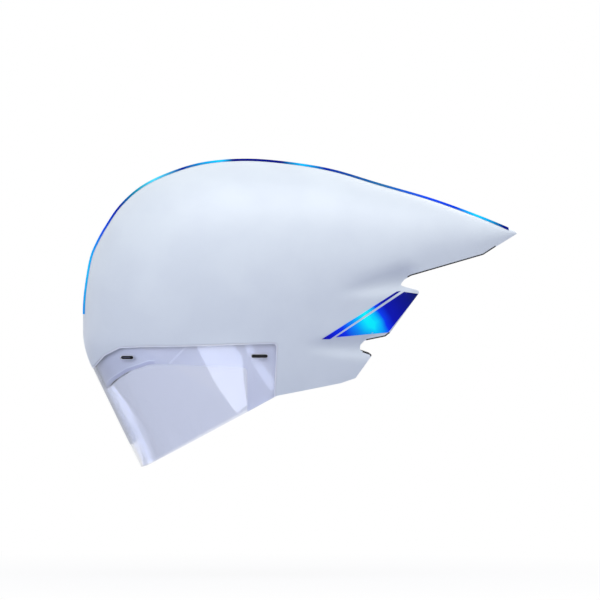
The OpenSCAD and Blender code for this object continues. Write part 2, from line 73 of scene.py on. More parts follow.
# %% Camera
VIEW_WIDTH, VIEW_X, VIEW_Z = 0.5157, 0.0670, -0.0163
DISTANCE, FILM_WIDTH = 6.0, 36
lens_data = bpy.data.cameras.new("side_view")
lens_data.sensor_width = FILM_WIDTH
lens_data.lens = FILM_WIDTH * DISTANCE / VIEW_WIDTH
lens_data.clip_end = 10 * DISTANCE
camera = bpy.data.objects.new("side_view", lens_data)
camera.location = (VIEW_X, -DISTANCE, VIEW_Z)
camera.rotation_euler = (math.radians(90), 0, 0)
bpy.context.scene.collection.objects.link(camera)
bpy.context.scene.camera = camera
bpy.context.scene.view_settings.view_transform = "Standard"
print("lens:", round(lens_data.lens), "mm")

# %% [markdown]
# ## Light, floor and backdrop
#
# Large soft boxes above and beside the helmet give white lacquer its gentle shading. The
# floor and the world look white to the camera and in reflections, and light the helmet only
# with a plain grey. The floor mixes a little of its real shading in below the helmet, so it
# keeps a shadow there and runs out into the white of the room.

# %% Small helpers for sizes, colours, nodes and meshes
MM = 0.001


def mm(*values):
    """Millimetres as metres."""
    return [value * MM for value in values]


def linear(code):
    """An sRGB hex colour as linear red, green, blue and alpha."""
    parts = [int(code[i:i + 2], 16) / 255 for i in (1, 3, 5)]
    return [p / 12.92 if p <= 0.04045 else ((p + 0.055) / 1.055) ** 2.4 for p in parts] + [1]


def node(tree, kind, inputs=None, **settings):
    """Adds one node: settings are its options, inputs are values or sockets to link."""
    made = tree.nodes.new(kind)
    for name, value in settings.items():
        setattr(made, name, value)
    for name, value in (inputs or {}).items():
        if isinstance(value, bpy.types.NodeSocket):
            tree.links.new(value, made.inputs[name])
        else:
            made.inputs[name].default_value = value
    return made


def empty_material(name):
    """A material whose tree is filled node by node."""
    made = bpy.data.materials.new(name)
    made.use_nodes = True
    made.node_tree.nodes.clear()
    return made, made.node_tree


def object_place(tree):
    return node(tree, "ShaderNodeTexCoord").outputs["Object"]


def new_piece(name, points, faces, edges=(), material=None):
    """A new object in the scene, from its points and its faces or edges."""
    mesh = bpy.data.meshes.new(name)
    mesh.from_pydata([tuple(p) for p in points], list(edges), faces)
    if material:
        mesh.materials.append(material)
    made = bpy.data.objects.new(name, mesh)
    bpy.context.scene.collection.objects.link(made)
    return made


# %% World
WHITE, ROOM_LIGHT = (1, 1, 1, 1), 0.36


def seen_or_mirrored(tree):
    """1 for rays from the camera, from a mirror or through glass, and 0 for the light."""
    path = node(tree, "ShaderNodeLightPath")
    seen = path.outputs["Is Camera Ray"]
    for other in ("Is Glossy Ray", "Is Transmission Ray"):
        seen = node(tree, "ShaderNodeMath", {0: seen, 1: path.outputs[other]},
                    operation="MAXIMUM").outputs[0]
    return seen


world = bpy.data.worlds.new("studio")
world.use_nodes = True
bpy.context.scene.world = world
sky = world.node_tree
sky.nodes.clear()
room = node(sky, "ShaderNodeBackground", {"Color": linear("#e8eefc"), "Strength": ROOM_LIGHT})
white = node(sky, "ShaderNodeBackground", {"Color": WHITE, "Strength": 1.0})
sky_mix = node(sky, "ShaderNodeMixShader", {
    0: seen_or_mirrored(sky), 1: room.outputs[0], 2: white.outputs[0]})
node(sky, "ShaderNodeOutputWorld", {"Surface": sky_mix.outputs[0]})
print("room light:", ROOM_LIGHT)

# %% Floor
# The share of plain white close to the helmet, and the distances where it starts to grow to
# 1 and is all there is
NEAR_WHITE, NEAR, FAR = 0.93, 0.25, 0.6
FLOOR_HALF = 9.0
# The visor comes off forwards and 92 mm down, so the floor lies below that
REST_Z = cad_box[0].z - 0.5 * MM
FLOOR_Z = REST_Z - 93 * MM

floor_finish, paper = empty_material("matt white paper")
matt = node(paper, "ShaderNodeBsdfDiffuse", {"Color": linear("#c9cbe0")})
glow = node(paper, "ShaderNodeEmission", {"Color": WHITE, "Strength": 1.0})
away = node(paper, "ShaderNodeVectorMath", {0: object_place(paper)}, operation="LENGTH")
plain = node(paper, "ShaderNodeMapRange", {
    "Value": away.outputs["Value"], "From Min": NEAR, "From Max": FAR,
    "To Min": NEAR_WHITE, "To Max": 1.0})
share = node(paper, "ShaderNodeMath", {0: seen_or_mirrored(paper), 1: plain.outputs[0]},
             operation="MULTIPLY")
paper_mix = node(paper, "ShaderNodeMixShader", {
    0: share.outputs[0], 1: matt.outputs[0], 2: glow.outputs[0]})
node(paper, "ShaderNodeOutputMaterial", {"Surface": paper_mix.outputs[0]})
floor = new_piece("floor", [(x * FLOOR_HALF, y * FLOOR_HALF, FLOOR_Z)
                            for x, y in ((-1, -1), (1, -1), (1, 1), (-1, 1))],
                  [(0, 1, 2, 3)], material=floor_finish)
print("floor at", round(FLOOR_Z / MM), "mm")

# %% Lamps
# Name, place, size along and across, power in watts
SOFT_BOXES = [
    ("overhead", (0.19, -0.5, 1.5), (2.0, 1.0), 16),
    ("front_left", (-1.3, -1.2, 0.7), (0.9, 0.9), 10),
    ("near_side", (0.5, -2.2, 0.6), (2.0, 1.0), 2.5),
    ("over_tail", (0.45, -0.25, 0.3), (0.3, 0.3), 0.3),
    ("back_right", (1.0, 1.4, 0.8), (1.0, 1.0), 7),
]
NOT_MIRRORED = ("front_left", "over_tail")
AIM = Vector((0.05, 0, 0))
for name, spot, size, power in SOFT_BOXES:
    lamp = bpy.data.lights.new(name, "AREA")
    lamp.shape = "RECTANGLE"
    lamp.size, lamp.size_y = size
    lamp.energy = power
    holder = bpy.data.objects.new(name, lamp)
    holder.location = spot
    holder.rotation_euler = (AIM - Vector(spot)).to_track_quat("-Z", "Y").to_euler()
    holder.visible_glossy = name not in NOT_MIRRORED
    bpy.context.scene.collection.objects.link(holder)
print("soft boxes:", len(SOFT_BOXES))

# %% [markdown]
# A clear visor shows what it mirrors more than what it is made of. Bright cards lie flat in
# front of the helmet, where the visor mirrors them as slanting streaks, and a grey one beside
# it keeps the front of the visor calm. Only mirrored rays meet them, so they add no light to
# the helmet and the camera doesn't see them.

# %% Cards for the reflections
# Corners in x and y, in metres, and the brightness at the two ends of the ramp along y
CARDS = [
    ([(-0.267, -0.882), (-0.001, -1.017), (0.070, -0.680), (0.050, -0.403), (0.044, -0.248),
      (0.014, -0.213), (-0.061, -0.361)], 3.3, 3.3),
    ([(0.100, -0.98), (0.150, -0.98), (0.135, -0.32), (0.110, -0.30)], 2.7, 2.7),
    ([(-0.8, -0.3), (0.05, -0.3), (0.05, -0.05), (-0.115, 0), (-0.115, 0.7), (-0.8, 0.7)],
     0.95, 0.66),
]
RAMP_START, RAMP_END, CARD_STEP = -0.3, -0.02, 0.2 * MM
for i, (corners, ahead, beside) in enumerate(CARDS):
    card_finish, tree = empty_material("bright card")
    path = node(tree, "ShaderNodeLightPath")
    clear = node(tree, "ShaderNodeBsdfTransparent")
    spot = node(tree, "ShaderNodeSeparateXYZ", {0: object_place(tree)})
    shade = node(tree, "ShaderNodeMapRange", {
        "Value": spot.outputs["Y"], "From Min": RAMP_START, "From Max": RAMP_END,
        "To Min": ahead, "To Max": beside})
    bright = node(tree, "ShaderNodeEmission", {
        "Color": linear("#f0f4ff"), "Strength": shade.outputs[0]})
    mirrored = node(tree, "ShaderNodeMixShader", {
        0: path.outputs["Is Glossy Ray"], 1: clear.outputs[0], 2: bright.outputs[0]})
    node(tree, "ShaderNodeOutputMaterial", {"Surface": mirrored.outputs[0]})
    level = REST_Z + CARD_STEP * (len(CARDS) - i)
    card = new_piece(f"card_{i}", [(x, y, level) for x, y in corners],
                     [tuple(range(len(corners)))], material=card_finish)
print("cards:", len(CARDS))

# %% [markdown]
# ## The form of the shell
#
# The whole helmet follows one surface. A table gives the crown line and the widest level
# along the shell, a law gives the width, and a rounded section joins them. The front leans
# back below the brow, and two creases run to the notches at the back. The same rules made
# the measured model, so a finer mesh made from them fits it exactly.

# %% Sizes and tables of the form
SHELL_LEN, SHELL_W, SHELL_H = 373 * MM, 197 * MM, 203 * MM
# Shares of the length and the height: place along the shell, crown and widest level
CROWN = np.array([
    [-0.3203, -0.157, -0.161], [-0.3189, -0.080, -0.157], [-0.3134, 0.004, -0.157],
    [-0.3041, 0.097, -0.157], [-0.2903, 0.161, -0.157], [-0.2673, 0.237, -0.157],
    [-0.2350, 0.322, -0.157], [-0.1889, 0.398, -0.153], [-0.1313, 0.453, -0.148],
    [-0.0507, 0.500, -0.140], [0.0415, 0.517, -0.127], [0.1336, 0.508, -0.097],
    [0.2488, 0.475, -0.042], [0.3641, 0.413, 0.038], [0.4793, 0.352, 0.100],
    [0.5714, 0.292, 0.136], [0.6406, 0.241, 0.176], [0.6682, 0.218, 0.193],
    [0.6797, 0.203, 0.201],
])
# Start, end and half width of each crease, which is 0.4 as wide at its start
CREASES = [
    ((0.267, -0.047), (0.419, 0.008), 0.075),
    ((0.191, -0.275), (0.320, -0.267), 0.07),
]
CREASE_DEPTH = 6 * MM
NOSE_X, TAIL_X = CROWN[0, 0] * SHELL_LEN, CROWN[-1, 0] * SHELL_LEN
WIDEST_X, LEAN_END = 0.03 * SHELL_LEN, 0.18 * SHELL_LEN
NOSE_POWER, TAIL_POWER, TAIL_ROUND, SECTION_POWER = 2.2, 1.75, 0.8, 2.15
LEAN_TOP, BROW, VISOR_LEAN = -0.208 * SHELL_H, -0.366 * SHELL_H, 0.4925
# Below the widest level the sides draw in by this share over this height
TUCK, TUCK_H = 0.07, SHELL_H / 2.5


def place(share):
    """Metres in the side view, from shares of the length and the height."""
    return np.array([share[0] * SHELL_LEN, share[1] * SHELL_H])


# %% The surface as a function
def crown_row(t):
    """A smooth curve through the rows of the table, for an array of t from 0 to 1."""
    last = len(CROWN) - 1
    f = np.clip(t, 0, 1) * last
    i = np.minimum(f.astype(int), last - 1)
    s = (f - i)[..., None]
    a, b, c, d = (CROWN[np.clip(i + k, 0, last)] for k in (-1, 0, 1, 2))
    return (2 * b + (c - a) * s + (2 * a - 5 * b + 4 * c - d) * s ** 2
            + (3 * b - 3 * c + d - a) * s ** 3) / 2


def half_width(x):
    front = np.clip((WIDEST_X - x) / (WIDEST_X - NOSE_X), 0, 1)
    back = np.clip((x - WIDEST_X) / (TAIL_X - WIDEST_X), 0, 1)
    ahead = (1 - front ** NOSE_POWER) ** (1 / NOSE_POWER)
    behind = (1 - back ** TAIL_POWER) ** TAIL_ROUND
    return SHELL_W / 2 * np.where(x < WIDEST_X, ahead, behind)


def lean(x, z):
    """How far the front has moved back at a height, fading out towards the rear."""
    bend = VISOR_LEAN * (LEAN_TOP - z) ** 2 / (2 * (LEAN_TOP - BROW))
    line = VISOR_LEAN * ((LEAN_TOP - BROW) / 2 + BROW - z)
    back = np.where(z > LEAN_TOP, 0, np.where(z > BROW, bend, line))
    s = np.clip((x - NOSE_X) / (LEAN_END - NOSE_X), 0, 1)
    return back * (1 - s * s * (3 - 2 * s))


def crease(x, z):
    depth = 0
    for start, end, half in CREASES:
        a, b = place(start), place(end)
        p = np.stack([x, z], -1)
        s = np.clip(((p - a) @ (b - a)) / ((b - a) @ (b - a)), 0, 1)
        off = np.linalg.norm(p - a - s[..., None] * (b - a), axis=-1)
        q = off / (half * SHELL_H * (0.4 + 0.6 * s))
        depth = depth + np.where(q < 1, CREASE_DEPTH * s * (1 - q * q) ** 2, 0)
    return depth


def surface(t, v, low, creased):
    """Points on the wearer's right. v is 0 on the crown, 1 at the widest level and 2 at low."""
    row = crown_row(t)
    x, top, belt = row[..., 0] * SHELL_LEN, row[..., 1] * SHELL_H, row[..., 2] * SHELL_H
    angle = np.pi / 2 * (1 - np.minimum(v, 1))
    across = np.cos(angle)
    y = half_width(x) * np.sign(across) * np.abs(across) ** (2 / SECTION_POWER)
    above = belt + (top - belt) * np.abs(np.sin(angle)) ** (2 / SECTION_POWER)
    z = np.where(v <= 1, above, belt + (low - belt) * (v - 1))
    y = y * np.where(v <= 1, 1, 1 - TUCK * ((belt - z) / TUCK_H) ** 2)
    if creased:
        y = y - np.where(v > 0, np.minimum(crease(x, z), y / 2), 0)
    return np.stack([x + lean(x, z), y, z], -1)


def offset_surface(t, v, low, creased, d):
    """The surface moved by d along its normals."""
    step = 0.002
    along = surface(t + step, v, low, creased) - surface(t - step, v, low, creased)
    down = surface(t, v + step, low, creased) - surface(t, v - step, low, creased)
    normal = np.cross(along, down)
    out = d * normal / np.linalg.norm(normal, axis=-1, keepdims=True)
    return surface(t, v, low, creased) + out


middle = surface(np.array(0.5), np.array(0.0), -0.1, True)
print("crown at the middle:", np.round(middle / MM, 1), "mm")

# %% [markdown]
# ## Closed forms and outlines
#
# Every wall of the helmet is the space between two of these forms, trimmed by an outline
# drawn in the side view and pushed through along Y. Blender's Boolean modifier with the
# Manifold solver trims dense closed meshes quickly and leaves them closed. It needs forms
# whose faces point outwards: one that is inside out is added where it should cut. So each
# form has its faces turned and its volume tested. A small angle test then keeps cut edges
# sharp and the surfaces smooth.

# %% Cut, freeze and smooth
def closed_up(piece, merge=True):
    """Merges doubled points and turns every face outwards."""
    work = bmesh.new()
    work.from_mesh(piece.data)
    if merge:
        bmesh.ops.remove_doubles(work, verts=work.verts, dist=1e-7)
        bmesh.ops.dissolve_degenerate(work, edges=work.edges, dist=1e-8)
    bmesh.ops.recalc_face_normals(work, faces=work.faces)
    if work.calc_volume(signed=True) < 0:
        bmesh.ops.reverse_faces(work, faces=work.faces)
    work.to_mesh(piece.data)
    work.free()
    return piece


def freeze(piece):
    """Turns the modifiers' result into the piece's own mesh."""
    settled = bpy.data.meshes.new_from_object(
        piece.evaluated_get(bpy.context.evaluated_depsgraph_get()))
    piece.modifiers.clear()
    piece.data = settled
    return piece


def carve(piece, operation, *tools):
    for tool in tools:
        cut = piece.modifiers.new("cut", "BOOLEAN")
        cut.solver = "MANIFOLD"
        cut.operation = operation
        cut.object = tool
    freeze(piece)
    for tool in tools:
        bpy.data.objects.remove(tool)
    return piece


def layer(shape, outer, inner, *tools):
    """The space between a form at two distances, inside every tool."""
    return carve(carve(shape(outer), "DIFFERENCE", shape(inner)), "INTERSECT", *tools)


# %% Forms
# Rows along, down to the widest level and below it, for each kind of form
BODY_ROWS, VISOR_ROWS, DEEP_ROWS = (144, 20, 32), (150, 8, 30), (80, 8, 22)
BODY_LOW, VISOR_LOW = -0.52 * SHELL_H, -0.84 * SHELL_H
BODY_T, VISOR_T, DEEP_T = (0.004, 0.994), (0.004, 0.68), (0.012, 0.8)


def form(d, low, creased, ends, counts):
    """The outer form moved by d along its normals, as one closed solid down to low."""
    steps = round(counts[0] * ends[1])
    t = np.linspace(*ends, steps + 1)[:, None]
    v = np.concatenate([np.arange(counts[1]) / counts[1],
                        1 + np.arange(counts[2] + 1) / counts[2]])[None, :]
    t, v = np.broadcast_arrays(t, v)
    side = offset_surface(t, v, low, creased, d)
    side[:, 0, 1] = 0
    other = side[:, 1:] * [1, -1, 1]
    rings = np.concatenate([side[:, :0:-1], side[:, :1], other], axis=1)
    m = rings.shape[1]
    faces = [(i * m + k, i * m + k + 1, (i + 1) * m + k + 1, (i + 1) * m + k)
             for i in range(steps) for k in range(m - 1)]
    faces += [(i * m, (i + 1) * m, (i + 1) * m + m - 1, i * m + m - 1) for i in range(steps)]
    half = (m - 1) // 2
    for i in (0, steps):
        k = i * m
        faces += [(k + half + 1, k + half, k + half - 1)]
        faces += [(k + m - 1 - j, k + m - 2 - j, k + j + 1, k + j) for j in range(half - 1)]
    return closed_up(new_piece("form", rings.reshape(-1, 3), faces))


def body_form(d):
    return form(d, BODY_LOW, True, BODY_T, BODY_ROWS)


def visor_form(d):
    return form(d, VISOR_LOW, False, VISOR_T, VISOR_ROWS)


def deep_form(d):
    return form(d, BODY_LOW, False, DEEP_T, DEEP_ROWS)


# %% Outlines in the side view
TAIL_UNDER = [[0.76, 0.295], [0.680, 0.201], [0.629, 0.144], [0.600, 0.110], [0.433, 0.021],
              [0.418, 0.006]]
FIN = [[0.407, -0.019], [0.449, -0.040], [0.452, -0.049], [0.384, -0.219], [0.374, -0.233],
       [0.326, -0.251], [0.317, -0.268]]
EAR = [[0.316, -0.290], [0.345, -0.308], [0.306, -0.407], [0.272, -0.428], [0.203, -0.453],
       [0.124, -0.481], [0.058, -0.547]]
SKY = [[-0.6, -0.6], [-0.6, 1], [1, 1], [1, 0.62]]
RECESS = [[0.124, -1.2], [0.124, -0.479], [0.130, -0.256], [-0.109, -0.270], [-0.180, -0.271],
          [-0.232, -0.276], [-0.268, -0.308], [-0.294, -0.359], [-0.301, -0.366],
          [-0.6, -0.366], [-0.6, -1.2]]
WINDOW = [[-0.6, -0.457], [-0.264, -0.457], [-0.244, -0.419], [-0.212, -0.381],
          [-0.162, -0.350], [-0.113, -0.350], [0.060, -0.362], [0.060, -1], [-0.6, -1]]
VISOR_FOOT = [[-0.6, 0], [-0.6, -0.787], [-0.188, -0.787], [-0.169, -0.775], [0.124, -0.483],
              [0.2, -0.407], [0.2, 0]]
NECK = [[0.09, -0.2], [0.14, -0.115], [0.26, -0.072], [0.36, -0.028], [0.44, 0.03],
        [0.7, 0.03], [0.7, -1], [0.09, -1]]


def outline(shares):
    return np.array([place(s) for s in shares])


def turning(points):
    """Twice the area inside an outline: above 0 when it runs anticlockwise."""
    x, z = points[:, 0], points[:, 1]
    return float(np.sum(x * np.roll(z, -1) - np.roll(x, -1) * z))


def grown(points, by):
    """An outline moved outwards by a distance, or inwards where it is below 0."""
    by = by if turning(points) > 0 else -by
    ahead = np.roll(points, -1, 0) - points
    ahead = ahead / np.linalg.norm(ahead, axis=1, keepdims=True)
    out = np.stack([ahead[:, 1], -ahead[:, 0]], 1)
    middle = out + np.roll(out, 1, 0)
    return points + by * 2 * middle / np.sum(middle * middle, axis=1, keepdims=True)


# %% Rounded corners and prisms
NEARLY_STRAIGHT, MOST_OF_A_SIDE = math.radians(88), 0.45


def rounded(points, radius, steps=6):
    """An outline with each corner turned by an arc of this radius, where there is room."""
    made = []
    n = len(points)
    for i in range(n):
        a, b, c = points[i - 1], points[i], points[(i + 1) % n]
        u, w = a - b, c - b
        lu, lw = np.linalg.norm(u), np.linalg.norm(w)
        u, w = u / lu, w / lw
        half = math.acos(max(-1, min(1, float(u @ w)))) / 2
        if half > NEARLY_STRAIGHT:
            made.append(b)
            continue
        reach = min(radius / math.tan(half), MOST_OF_A_SIDE * lu, MOST_OF_A_SIDE * lw)
        r = reach * math.tan(half)
        centre = b + (u + w) / np.linalg.norm(u + w) * r / math.sin(half)
        first, second = b + u * reach - centre, b + w * reach - centre
        sweep = math.atan2(first[0] * second[1] - first[1] * second[0],
                           float(first @ second))
        for k in range(steps + 1):
            q = sweep * k / steps
            made.append(centre + [first[0] * math.cos(q) - first[1] * math.sin(q),
                                  first[0] * math.sin(q) + first[1] * math.cos(q)])
    return np.array(made)


def circle(r):
    angles = np.linspace(0, 2 * np.pi, 32, endpoint=False)
    return np.stack([r * np.cos(angles), r * np.sin(angles)], 1)


def prism(points, near=-SHELL_W, far=SHELL_W):
    """An outline pushed through from y = near to y = far."""
    n = len(points)
    faces = [tuple(range(n)), tuple(range(2 * n - 1, n - 1, -1))]
    faces += [(i, n + i, n + (i + 1) % n, (i + 1) % n) for i in range(n)]
    places = [(p[0], y, p[1]) for y in (near, far) for p in points]
    return closed_up(new_piece("prism", places, faces))


CORNER, TURN = 0.008 * SHELL_H, 0.02 * SHELL_H
body_line = rounded(outline(SKY + TAIL_UNDER + FIN + EAR), CORNER)
recess_line = rounded(outline(RECESS), TURN)
window_line = rounded(outline(WINDOW), TURN)
foot_line = rounded(outline(VISOR_FOOT), TURN / 2)
print("points in the body's outline:", len(body_line))

# %% [markdown]
# ## Finishes
#
# Each finish starts from what the real one is and how its surface was made. Patterns read
# Object coordinates, in metres, so their scale comes from a real size: a grain of 1 mm has a
# scale of 1000. Colours are sRGB codes turned to linear values.

# %% Finishes with one Principled shader
def finish(name, colour, roughness, **sockets):
    """A material with one shader. Further sockets are written with _ for a space."""
    made, tree = empty_material(name)
    shader = node(tree, "ShaderNodeBsdfPrincipled", {
        "Base Color": linear(colour), "Roughness": roughness})
    for socket, value in sockets.items():
        shader.inputs[socket.replace("_", " ")].default_value = value
    node(tree, "ShaderNodeOutputMaterial", {"Surface": shader.outputs[0]})
    return made, tree, shader


def relieve(tree, shader, height, distance, strength=1.0):
    """Lets a pattern raise the surface by a distance."""
    bump = node(tree, "ShaderNodeBump", {
        "Height": height, "Distance": distance, "Strength": strength})
    tree.links.new(bump.outputs[0], shader.inputs["Normal"])


def plain_finish(name, colour, roughness, drift, relief=None, **sockets):
    """A finish that drifts slowly between two colours, or two values of its roughness.

    drift is the size of the patches and the two ends, relief the size and the height of a
    fine grain. Sizes are in millimetres.
    """
    made, tree, shader = finish(name, colour, roughness, **sockets)
    size, *both_ends = drift
    drifting = node(tree, "ShaderNodeTexNoise", {
        "Vector": object_place(tree), "Scale": 1 / (size * MM), "Detail": 3.0})
    ramp = node(tree, "ShaderNodeValToRGB", {0: drifting.outputs[0]})
    coloured = isinstance(both_ends[0], str)
    for stop, at, value in zip(ramp.color_ramp.elements, (0.4, 0.6), both_ends):
        stop.position = at
        stop.color = linear(value) if coloured else (value, value, value, 1)
    tree.links.new(ramp.outputs[0], shader.inputs["Base Color" if coloured else "Roughness"])
    if relief:
        grain = node(tree, "ShaderNodeTexNoise", {
            "Vector": object_place(tree), "Scale": 1 / (relief[0] * MM), "Detail": 2.0})
        relieve(tree, shader, grain.outputs[0], relief[1] * MM)
    return made


# %% [markdown]
# The shell is polycarbonate formed under vacuum and sprayed with a white satin lacquer. To the
# eye that is an even cool white with soft highlights and the faintest orange peel, which here
# has a grain of 1.6 mm and is a few microns high. The liner is expanded polystyrene: blown
# beads welded together in cells of 2 to 3 mm, each a low cushion with a dark joint round it.

# %% Satin lacquer and foam
lacquer = plain_finish("white satin lacquer on polycarbonate", "#dce4eb", 0.42,
                       (50, "#dae2ea", "#dee6ed"), (1.6, 0.006),
                       Coat_Weight=0.2, Coat_Roughness=0.35, IOR=1.49)

BEAD, BEAD_RISE = 2.6 * MM, 0.4 * MM
bead_foam, tree, shader = finish("black expanded polystyrene", "#1b1b1e", 0.78,
                                 Specular_IOR_Level=0.35)
beads = node(tree, "ShaderNodeTexVoronoi", {"Vector": object_place(tree), "Scale": 1 / BEAD},
             feature="DISTANCE_TO_EDGE")
tone = node(tree, "ShaderNodeValToRGB", {0: beads.outputs["Distance"]})
joint, top = tone.color_ramp.elements
joint.color, top.color, top.position = linear("#0e0e10"), linear("#232327"), 0.25
tree.links.new(tone.outputs[0], shader.inputs["Base Color"])
cushion = node(tree, "ShaderNodeMath", {0: beads.outputs["Distance"], 1: 0.5},
               operation="POWER")
relieve(tree, shader, cushion.outputs[0], BEAD_RISE, 0.8)

# %% Moulded plastics and rubber
# Pale grey ABS has the fine spark texture of its mould
frame_abs = plain_finish("pale grey moulded ABS", "#e6e8f0", 0.42,
                         (30, "#e3e5ee", "#e9ebf2"), (0.7, 0.02), IOR=1.53)
# Dark trim comes out of a polished mould, so it is glossy
trim_abs = plain_finish("dark gloss ABS trim", "#12141c", 0.2, (20, 0.16, 0.26), IOR=1.53)
# Black nylon is matt from a textured mould
nylon = plain_finish("black moulded nylon", "#242529", 0.45,
                     (12, "#202124", "#292a2e"), (0.6, 0.02), IOR=1.53)
slot_black = plain_finish("black polyamide insert", "#08090f", 0.4,
                          (6, "#06070c", "#0c0d14"), Specular_IOR_Level=0.3)
# Painted shade: a dark grey that stands for the dim, shaded inside of a slot
slot_shade_grey = plain_finish("dark grey painted shade in a slot", "#4c4f60", 0.45,
                         (4, "#494c5c", "#505366"), Specular_IOR_Level=0.3)
rubber = plain_finish("black silicone rubber", "#17171a", 0.6,
                      (10, "#141416", "#1e1e22"), (0.9, 0.03), Specular_IOR_Level=0.4)
# Acetal lets a little light in, like wax
acetal = plain_finish("natural acetal", "#d9d8d2", 0.35, (4, "#d2d1ca", "#dedcd6"),
                      Subsurface_Weight=0.1, Subsurface_Scale=2 * MM)
print("plain finishes:", len(bpy.data.materials))

# %% [markdown]
# The visor is clear polycarbonate with a faint mirror coat. It is real glass to the camera:
# it bends and mirrors light. Lamps are let through by Light Path, because otherwise the
# inside of the helmet would be dark behind it.

# %% Visor
# The cut edge of the clear sheet is drawn pale and opaque: a painted highlight for the light
# that runs inside the sheet and shines out at its edge
edge_highlight_pc = plain_finish("painted highlight on the cut edge of polycarbonate sheet", "#eef2fc", 0.3,
                       (10, "#e8edfa", "#f4f7ff"), IOR=1.586)
lens_pc, tree = empty_material("clear polycarbonate with a faint mirror coat")
shader = node(tree, "ShaderNodeBsdfPrincipled", {
    "Base Color": linear("#e3e7f5"), "IOR": 1.586, "Transmission Weight": 1.0,
    "Specular IOR Level": 0.7, "Coat Weight": 0.3, "Coat Roughness": 0.02})
through_lens = node(tree, "ShaderNodeBsdfTransparent", {"Color": linear("#f4f6fc")})
path = node(tree, "ShaderNodeLightPath")
let_by = node(tree, "ShaderNodeMixShader", {
    0: path.outputs["Is Shadow Ray"], 1: shader.outputs[0], 2: through_lens.outputs[0]})
node(tree, "ShaderNodeOutputMaterial", {"Surface": let_by.outputs[0]})
# Wiping leaves faint smears of about 20 mm
smear = node(tree, "ShaderNodeTexNoise", {
    "Vector": object_place(tree), "Scale": 1 / (20 * MM), "Detail": 2.0})
haze = node(tree, "ShaderNodeMapRange", {
    "Value": smear.outputs[0], "To Min": 0.04, "To Max": 0.08})
tree.links.new(haze.outputs[0], shader.inputs["Roughness"])
print("visor's finish:", lens_pc.name)

# %% [markdown]
# The foil graphics are blue iridescent film. Its colours run in bands across one direction,
# and soft swirls move the bands by a few millimetres. A little emission, a painted glow, keeps
# them deep where the film is seen at a low angle.

# %% Foils
# FOIL_GLOW is the strength of a painted glow: the foils shine a little by themselves
SWIRL, FOIL_GLOW = 18 * MM, 0.2


def bands_of_colour(tree, where, swirl, wander, direction, table):
    """Colours along a direction. The table's places are in metres."""
    line = node(tree, "ShaderNodeVectorMath", {0: where, 1: direction},
                operation="DOT_PRODUCT")
    moved = node(tree, "ShaderNodeMath", {0: swirl, 1: wander, 2: line.outputs["Value"]},
                 operation="MULTIPLY_ADD")
    low, high = table[0][0], table[-1][0]
    spread = node(tree, "ShaderNodeMapRange", {
        "Value": moved.outputs[0], "From Min": low, "From Max": high})
    colours = node(tree, "ShaderNodeValToRGB", {0: spread.outputs[0]})
    while len(colours.color_ramp.elements) < len(table):
        colours.color_ramp.elements.new(0.5)
    for element, (at, colour) in zip(colours.color_ramp.elements, table):
        element.position = (at - low) / (high - low)
        element.color = linear(colour)
    return colours.outputs[0]


def foil(name, wander, gloss, direction, table, *second):
    """A foil with bands along one direction, and tinted along a second one if it is given."""
    made, tree, shader = finish(name, "#1030c0", 0.3, Specular_IOR_Level=gloss)
    where = object_place(tree)
    swirl = node(tree, "ShaderNodeTexNoise", {
        "Vector": where, "Scale": 1 / SWIRL, "Detail": 3.0, "Distortion": 0.6}).outputs[0]
    colour = bands_of_colour(tree, where, swirl, wander, direction, table)
    if second:
        tint = node(tree, "ShaderNodeMix", {"Factor": 1.0}, data_type="RGBA",
                    blend_type="MULTIPLY")
        tree.links.new(colour, tint.inputs["A"])
        tree.links.new(bands_of_colour(tree, where, swirl, wander, *second), tint.inputs["B"])
        colour = tint.outputs["Result"]
    tree.links.new(colour, shader.inputs["Base Color"])
    # The same colours glow as well: painted light, since the foil is no lamp
    tree.links.new(colour, shader.inputs["Emission Color"])
    shader.inputs["Emission Strength"].default_value = FOIL_GLOW
    return made


# On the fins the colours run along a slant. A bright cyan patch that dies away below it is a
# painted glint; the blue bands round it are the film's colour
fin_foil = foil("iridescent blue foil", 4 * MM, 0.12, (0.839, 0, 0.545), [
    (0.046, "#0a0a90"), (0.052, "#0008c4"), (0.066, "#0034f0"), (0.077, "#0098ff"),
    (0.0885, "#00ffff"), (0.095, "#00d0ff"), (0.100, "#0040f0"), (0.107, "#0010b0"),
    (0.120, "#000c90"), (0.135, "#001060")],
    (-0.545, 0, 0.839), [
    (-0.135, "#3a3aff"), (-0.112, "#58a0ff"), (-0.100, "#ffffff"), (-0.085, "#ffffff"),
    (-0.072, "#70a8ff")])
crown_foil = foil("iridescent crown foil", 6 * MM, 0, (1, 0, 0), [
    (-0.120, "#1540d0"), (-0.112, "#18c8ff"), (-0.100, "#1058e8"), (-0.085, "#0820a0"),
    (-0.070, "#1090b0"), (-0.056, "#50d8f8"), (-0.030, "#0a1c90"), (0.002, "#10c4ff"),
    (0.012, "#081478"), (0.055, "#081478"), (0.072, "#10b4f0"), (0.092, "#0a2498"),
    (0.140, "#20689c"), (0.180, "#1448e0"), (0.205, "#1040d0"), (0.222, "#18c8ff"),
    (0.245, "#081478")])
print("foils:", fin_foil.name, "and", crown_foil.name)

# %% [markdown]
# ## The hard shell and its edging
#
# The shell is the thin space between the outer form and the same form 1.6 mm further in,
# trimmed by the side view and by the recess for the visor. Thin strips along the lower edge
# are separate pieces of dark trim, so they are cut out of the shell and made again on their own.

# %% Dressing and trimming helpers
SIDES = (("left", -SHELL_W, -0.05 * MM), ("right", 0.05 * MM, SHELL_W))
SHELL_WALL, EDGING_H = 1.6 * MM, 1.1 * MM
BANDS = {
    "tail": [[0.425, -0.01], [0.425, 0.1], [0.629, 0.2], [0.629, 0.1], [0.5, -0.01]],
    "fin": [[0.33, -0.235], [0.372, -0.21], [0.41, -0.23], [0.39, -0.26], [0.33, -0.27]],
    "ear": [[0.322, -0.28], [0.36, -0.295], [0.36, -0.32], [0.335, -0.315], [0.322, -0.3]],
}


